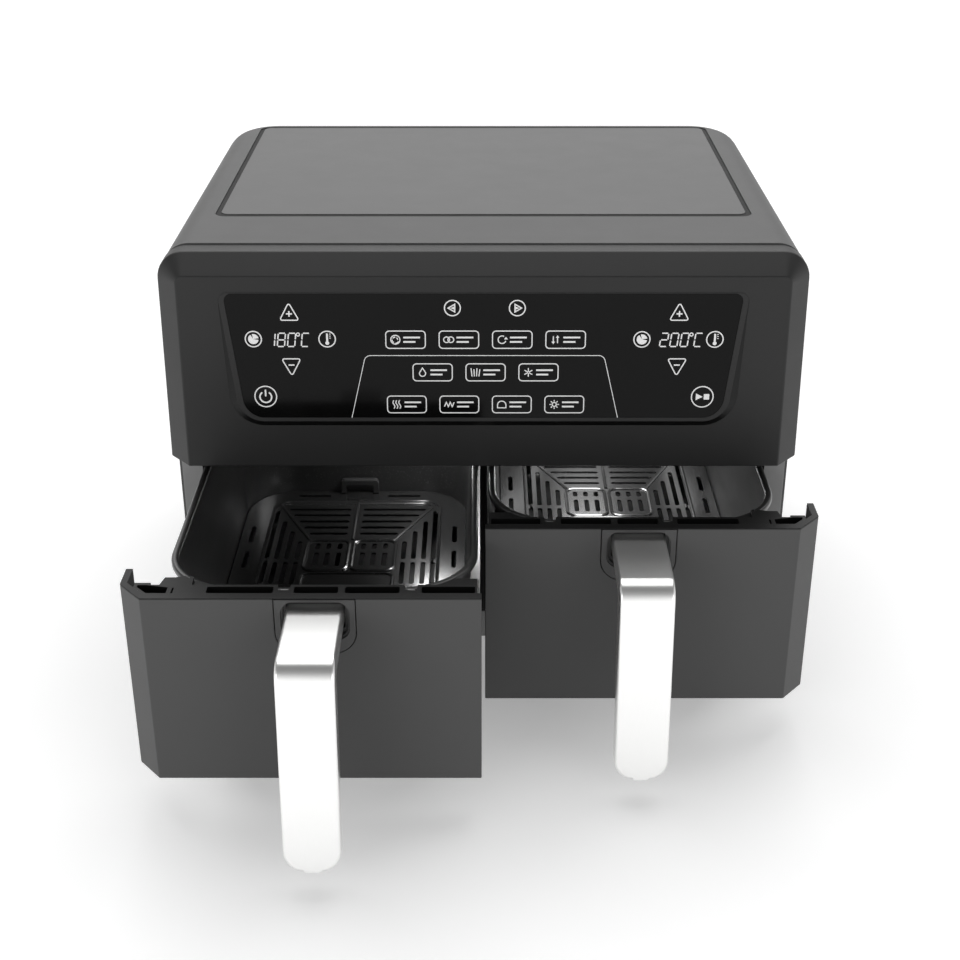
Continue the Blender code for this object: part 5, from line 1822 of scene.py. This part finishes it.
def build_clip(side, end):
    """A soft clip on the tray's edge: an arch that a finger can pull."""
    node = f"{side}_tray_{end}_bumper"
    low, high = drawer_box(side, f"tray_{end}_bumper")
    outline = rounded(
        [(low.x, low.z), (high.x, low.z), (high.x, high.z), (low.x, high.z)],
        [0.0006, 0.0006, 0.0030, 0.0030],
        5,
    )
    clip = prism(f"{side}_{end}_clip", outline, 1, low.y, high.y)
    inside, under, over = 0.0098, low.z - 0.002, low.z + 0.0066
    arch = rounded(
        [(-inside, under), (inside, under), (inside, over), (-inside, over)],
        [0, 0, 0.002, 0.002],
        4,
    )
    cut(clip, prism("arch", arch, 1, low.y - 0.002, high.y + 0.002))
    soften(clip, 0.0006, 3)
    place(clip, drawer_origin(side), f"{side}_tray", "rubber", node)


# Handles


LEAN = math.radians(6)
BEND_STEPS = 12
END_STEPS = 10
SCREW_DROP = 0.0081
SCREW_BORE = 0.0023
GRIP_DEPTH = 0.0149


def handle_line(offset, bend, inset, root):
    """Points (y, z) of the handle's side view, an offset inside the steel's outer face."""
    chosen = settings("handle")
    low, high = drawer_box("right", "handle_strap")
    top = high.z - offset
    lean = Vector((-math.sin(LEAN), -math.cos(LEAN)))
    inward = Vector((math.cos(LEAN), -math.sin(LEAN)))
    end = Vector((low.y, low.z)) + inward * offset
    corner = end - lean * ((end.y - top) / lean.y)
    reach = bend * math.tan((math.pi / 2 - LEAN) / 2)
    centre = Vector((corner.x + reach, top - bend))
    line = [Vector((root, top))]
    for step in range(BEND_STEPS + 1):
        angle = math.pi / 2 + (math.pi / 2 - LEAN) * step / BEND_STEPS
        line.append(centre + bend * Vector((math.cos(angle), math.sin(angle))))
    radius = chosen.end_radius - inset
    for step in range(END_STEPS + 1):
        along = inset + radius * (1 - math.sin(math.pi / 2 * step / END_STEPS))
        line.append(end - lean * along)
    return line


def handle_widths(inset):
    """Half widths at each point of the handle's line: full, then round towards the bottom end."""
    radius = settings("handle").end_radius
    full = drawer_box("right", "handle_strap")[1].x
    widths = [full - inset] * (BEND_STEPS + 2)
    for step in range(END_STEPS + 1):
        angle = math.pi / 2 * step / END_STEPS
        widths.append(full - radius + (radius - inset) * math.cos(angle))
    return widths


def handle_body(name, near, far, inset, root, front_round=0.0, back_round=0.0):
    chosen = settings("handle")
    bm = bmesh.new()
    rings = []
    near_line = handle_line(near, chosen.bend - near, inset, root)
    far_line = handle_line(far, max(0.0012, chosen.bend - far), inset, root)
    for outer, inner, half in zip(near_line, far_line, handle_widths(inset)):
        rings.append(
            [
                (-half, outer.x, outer.y),
                (half, outer.x, outer.y),
                (half, inner.x, inner.y),
                (-half, inner.x, inner.y),
            ]
        )
    loops = add_loft(bm, rings)
    for radius, pair in ((front_round, (0, 1)), (back_round, (2, 3))):
        if radius:
            round_outline(bm, loops, pair, radius)
    return solid(name, bm)


def round_outline(bm, loops, pair, radius):
    """Rounds the outline that two of each ring's points draw down both sides and across the end."""
    edges = []
    for here, there in zip(loops, loops[1:]):
        for index in pair:
            edges.append(bm.edges.get((here[index], there[index])))
    edges.append(bm.edges.get((loops[-1][pair[0]], loops[-1][pair[1]])))
    bmesh.ops.bevel(
        bm, geom=edges, offset=radius, segments=5, profile=0.5, affect="EDGES", clamp_overlap=False
    )


def build_handle(side):
    chosen = settings("handle")
    root = drawer_box("right", "handle_strap")[1].y
    name = f"{side}_handle_steel"
    shell = handle_body(name, 0.0, chosen.flange, 0.0, root, front_round=chosen.edge)
    room = handle_body("room", chosen.sheet, chosen.flange + 0.012, chosen.sheet, root + 0.004)
    cut(shell, room)
    soften(shell, 0.00025, 2, 50.0)
    origin = drawer_origin(side)
    body = f"{side}_drawer"
    place(shell, origin, body, "handle_steel", f"{side}_handle_strap", sharp=35.0)
    near = chosen.sheet + 0.0002
    depth = -drawer_box("right", "handle_strap")[1].z
    grip = handle_body(f"{side}_grip", near, GRIP_DEPTH, near, root - 0.0002, back_round=0.003)
    sides = [(SCREW_BORE, 0.0), (SCREW_BORE, 0.03)]
    cut(grip, stack("bore", sides, (0.0, -(depth + SCREW_DROP)), axis=1, steps=24))
    place(grip, origin, body, "dark_plastic", f"{side}_handle_grip", sharp=35.0)


def build_hub(side):
    """The insert round the handle's root: a plate flush with the front and two bosses behind it."""
    chosen = settings("handle")
    low, high = drawer_box("right", "handle_hub")
    plate_back = drawer_box(side, "drawer_bracket")[0].y - FIT
    top = drawer_box(side, "drawer_front")[1].z - settings("drawer").cap - 2 * FIT
    hub = prism(f"{side}_hub", hub_outline(0.0, top), 1, low.y, plate_back)
    boss = high.x - 0.004
    bosses = []
    for depth_low, depth_high, roof in HUB_BOSSES:
        bosses.append(block("boss", (-boss, depth_low, -0.0300), (boss, depth_high, roof)))
    join(hub, *bosses)
    half, roof, bottom = 0.0178, top - 0.0024, -0.0272
    recess = rectangle((-half, bottom), (half, roof), 0.006, 10)
    arched = crowned(recess, half, (roof + bottom) / 2, chosen.crown)
    grow = 0.0010
    lip = rectangle((-half - grow, bottom - grow), (half + grow, roof + grow / 2), 0.007, 10)
    arched_lip = crowned(lip, half + grow, (roof + bottom) / 2, chosen.crown)
    screw_height = -(chosen.root_drop + SCREW_DROP)
    seat_low, seat_high = drawer_box("right", "handle_screw")
    seat = (seat_high.x - seat_low.x) / 2 + FIT
    root = rectangle((-0.0160, -0.0236), (0.0160, -0.0080), 0.001, 3)
    cut(
        hub,
        prism("recess", arched, 1, -0.01, 0.0050),
        prism("lip", arched_lip, 1, -0.01, 0.0016),
        prism("root_hole", root, 1, -0.01, 0.0093),
        stack("hole", [(SCREW_BORE, 0.001), (SCREW_BORE, 0.05)], (0.0, screw_height), axis=1),
        stack("seat", [(seat, high.y - 0.0027), (seat, 0.05)], (0.0, screw_height), axis=1),
    )
    soften(hub, 0.0004, 3)
    place(hub, drawer_origin(side), f"{side}_drawer", "front_plastic", f"{side}_handle_hub")


def crowned(outline, half, middle, crown):
    """Raises the upper part of an outline into a low arch."""
    extra = []
    for index, (x, z) in enumerate(outline):
        extra.append((x, z))
        following = outline[(index + 1) % len(outline)]
        if z > middle and abs(following[1] - z) < 0.0001 and abs(following[0] - x) > half / 2:
            for step in range(1, 12):
                share = step / 12
                extra.append((x + (following[0] - x) * share, z))
    return [(x, z + crown * (1 - (x / half) ** 2) if z > middle else z) for x, z in extra]


# Carried-over inner pieces, stage


CARRIED = {
    "cavity_floor": "steel_sheet",
    "cavity_liner": "steel_sheet",
    "heater_guard": "steel_sheet",
    "convection_fan": "steel_sheet",
    "heater_coil": "heater_steel",
    "fan_motor": "motor_steel",
    "fan_shaft": "bright_steel",
    "temperature_probe": "bright_steel",
    "handle_screw": "bright_steel",
    "cooling_fan": "dark_plastic",
    "drawer_switch": "dark_plastic",
    "control_board": "circuit_board",
    "power_board": "circuit_board",
    "display": "display",
}


def dress_inner_parts():
    for name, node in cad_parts.items():
        kind = name
        for side in SIDES:
            kind = kind.removeprefix(f"{side}_")
        if kind in CARRIED:
            node.data.materials.clear()
            node.data.materials.append(FINISHES[CARRIED[kind]])


# Name, place, target, size and watts
SOFT_BOXES = (
    ("back", (0.0, 1.9, 2.0), (0.0, 0.0, 0.2), (2.2, 1.0), 6.0),
    ("front_left", (-1.3, -2.0, 0.75), (0.0, -0.05, 0.1), (1.2, 1.0), 8.5),
    ("front_right", (1.3, -2.0, 0.75), (0.0, -0.05, 0.1), (1.2, 1.0), 6.0),
)
SKY_POWER = 2.0
SKY_SPREAD = math.radians(70)
SKY_TILT = math.radians(34)
# Side, distance from the pan's middle and width
CAVITY_LAMPS = (("left", 0.056, 0.030), ("right", -0.005, 0.040))
CAVITY_LAMP_LONG = 0.18


def area_light(name, place_at, target, size, power):
    data = bpy.data.lights.new(name, "AREA")
    data.shape = "RECTANGLE"
    data.size, data.size_y = size
    data.energy = power
    made = bpy.data.objects.new(name, data)
    made.location = place_at
    made.visible_camera = False
    made.rotation_euler = (Vector(target) - Vector(place_at)).to_track_quat("-Z", "Y").to_euler()
    bpy.context.scene.collection.objects.link(made)
    return made


def build_floor(size):
    half = size / 2
    bm = bmesh.new()
    corners = [(-half, -half, 0.0), (half, -half, 0.0), (half, half, 0.0), (-half, half, 0.0)]
    bm.faces.new([bm.verts.new(point) for point in corners])
    mesh = bpy.data.meshes.new("floor")
    bm.to_mesh(mesh)
    bm.free()
    floor = link("floor", mesh)
    paper = Finish("studio_floor", roughness=0.9, specular_ior_level=0.0, emission_strength=0.30)
    fleck = paper.noise(paper.place(), 3.0, 1.0)
    paper.drive("Base Color", paper.blend(fleck, (0.90, 0.90, 0.90), (0.91, 0.91, 0.91)))
    paper.shader.inputs["Emission Color"].default_value = (1.0, 1.0, 1.0, 1.0)
    floor.data.materials.append(paper.material)


def build_world():
    world = bpy.data.worlds.new("studio")
    world.use_nodes = True
    tree = world.node_tree
    where = tree.nodes.new("ShaderNodeTexCoord")
    split = tree.nodes.new("ShaderNodeSeparateXYZ")
    ramp = tree.nodes.new("ShaderNodeValToRGB")
    stops = [(0.0, 0.95), (0.15, 0.90), (0.45, 0.38), (1.0, 0.12)]
    while len(ramp.color_ramp.elements) < len(stops):
        ramp.color_ramp.elements.new(0.5)
    for element, (share, shade_of) in zip(ramp.color_ramp.elements, stops):
        element.position = share
        element.color = (shade_of, shade_of, shade_of, 1.0)
    tree.links.new(where.outputs["Generated"], split.inputs["Vector"])
    tree.links.new(split.outputs["Z"], ramp.inputs["Fac"])
    tree.links.new(ramp.outputs["Color"], tree.nodes["Background"].inputs["Color"])
    bpy.context.scene.world = world


def build_lights():
    """Soft boxes behind and in front, a broad sky, and a lamp over each pan inside the machine."""
    for box in SOFT_BOXES:
        area_light(*box)
    sky = bpy.data.lights.new("soft_sky", "SUN")
    sky.energy = SKY_POWER
    sky.angle = SKY_SPREAD
    lamp = bpy.data.objects.new("soft_sky", sky)
    lamp.rotation_euler = (-SKY_TILT, 0.0, 0.0)
    bpy.context.scene.collection.objects.link(lamp)
    for side, across, wide in CAVITY_LAMPS:
        inside = MACHINE + Vector((drawer_origin(side).x + across, 0.17, 0.0015))
        below = inside - Vector((0.0, 0.0, 1.0))
        area_light(f"{side}_cavity", inside, below, (wide, CAVITY_LAMP_LONG), 22.0 * wide)


def build_stage():
    chosen = settings("stage")
    build_world()
    build_floor(chosen.floor_size)
    build_lights()
    data = bpy.data.cameras.new("camera")
    data.sensor_width = 36.0
    data.lens = chosen.lens
    data.shift_x = -0.0036
    data.clip_start = 0.05
    camera = bpy.data.objects.new("camera", data)
    camera.location = MACHINE + Vector((0.0, -chosen.camera_back, chosen.camera_height))
    camera.rotation_euler = (math.pi / 2 - chosen.camera_pitch, 0.0, 0.0)
    bpy.context.scene.collection.objects.link(camera)
    bpy.context.scene.camera = camera
    bpy.context.scene.view_settings.view_transform = "Standard"


# Operators and panel


class AIRFRYER_OT_finishes(bpy.types.Operator):
    """Makes every finish and gives the carried-over inner pieces theirs"""

    bl_idname = "airfryer.finishes"
    bl_label = "Finishes and Inner Pieces"

    def execute(self, context):
        make_finishes()
        dress_inner_parts()
        return {"FINISHED"}


class AIRFRYER_OT_housing(bpy.types.Operator):
    """Builds the housing and the plate let into its top"""

    bl_idname = "airfryer.housing"
    bl_label = "Housing"

    def execute(self, context):
        build_housing()
        return {"FINISHED"}


class AIRFRYER_OT_head(bpy.types.Operator):
    """Builds the chamfered control head"""

    bl_idname = "airfryer.head"
    bl_label = "Control Head"

    def execute(self, context):
        build_fascia()
        return {"FINISHED"}


class AIRFRYER_OT_panel(bpy.types.Operator):
    """Builds the bezel, the glass and what is printed on it"""

    bl_idname = "airfryer.panel"
    bl_label = "Control Panel"

    def execute(self, context):
        build_panel()
        build_print()
        return {"FINISHED"}


class AIRFRYER_OT_front_frame(bpy.types.Operator):
    """Builds the frame round the drawers and the divider between the pans"""

    bl_idname = "airfryer.front_frame"
    bl_label = "Front Frame"

    def execute(self, context):
        build_front_frame()
        return {"FINISHED"}


class AIRFRYER_OT_base(bpy.types.Operator):
    """Builds the underside, its screws and the feet"""

    bl_idname = "airfryer.base"
    bl_label = "Base and Feet"

    def execute(self, context):
        build_base()
        return {"FINISHED"}


class AIRFRYER_OT_back(bpy.types.Operator):
    """Builds the rear grille, its screws and the bush for the mains lead"""

    bl_idname = "airfryer.back"
    bl_label = "Back"

    def execute(self, context):
        build_back()
        return {"FINISHED"}


class AIRFRYER_OT_drawers(bpy.types.Operator):
    """Builds both drawers: front, bracket, hooks and pan"""

    bl_idname = "airfryer.drawers"
    bl_label = "Drawers"

    def execute(self, context):
        for side in SIDES:
            build_drawer_front(side)
            build_bracket(side)
            build_pan(side)
        return {"FINISHED"}


class AIRFRYER_OT_trays(bpy.types.Operator):
    """Builds both crisper trays and their soft clips"""

    bl_idname = "airfryer.trays"
    bl_label = "Crisper Trays"

    def execute(self, context):
        for side in SIDES:
            build_tray(side)
        return {"FINISHED"}


class AIRFRYER_OT_handles(bpy.types.Operator):
    """Builds both handles and the hubs that hold them"""

    bl_idname = "airfryer.handles"
    bl_label = "Handles"

    def execute(self, context):
        for side in SIDES:
            build_hub(side)
            build_handle(side)
        return {"FINISHED"}


class AIRFRYER_OT_stage(bpy.types.Operator):
    """Builds the floor, the lights and the camera"""

    bl_idname = "airfryer.stage"
    bl_label = "Stage"

    def execute(self, context):
        build_stage()
        return {"FINISHED"}


OPERATORS = (
    AIRFRYER_OT_finishes,
    AIRFRYER_OT_housing,
    AIRFRYER_OT_head,
    AIRFRYER_OT_panel,
    AIRFRYER_OT_front_frame,
    AIRFRYER_OT_base,
    AIRFRYER_OT_back,
    AIRFRYER_OT_drawers,
    AIRFRYER_OT_trays,
    AIRFRYER_OT_handles,
    AIRFRYER_OT_stage,
)


class AIRFRYER_PT_pieces(bpy.types.Panel):
    bl_idname = "AIRFRYER_PT_pieces"
    bl_label = "Air Fryer"
    bl_space_type = "VIEW_3D"
    bl_region_type = "UI"
    bl_category = "Air Fryer"

    def draw(self, context):
        for operator in OPERATORS:
            self.layout.operator(operator.bl_idname)
        for name, group in GROUPS.items():
            column = self.layout.column(heading=name)
            for key in group.__annotations__:
                column.prop(getattr(context.scene, name), key)


def register():
    for kind in (*GROUPS.values(), *OPERATORS, AIRFRYER_PT_pieces):
        bpy.utils.register_class(kind)
    for name, group in GROUPS.items():
        setattr(bpy.types.Scene, name, bpy.props.PointerProperty(type=group))


def unregister():
    for name in GROUPS:
        delattr(bpy.types.Scene, name)
    for kind in reversed((*GROUPS.values(), *OPERATORS, AIRFRYER_PT_pieces)):
        bpy.utils.unregister_class(kind)


def main():
    register()
    for operator in OPERATORS:
        _, call = operator.bl_idname.split(".")
        getattr(bpy.ops.airfryer, call)()


if __name__ == "__main__":
    main()
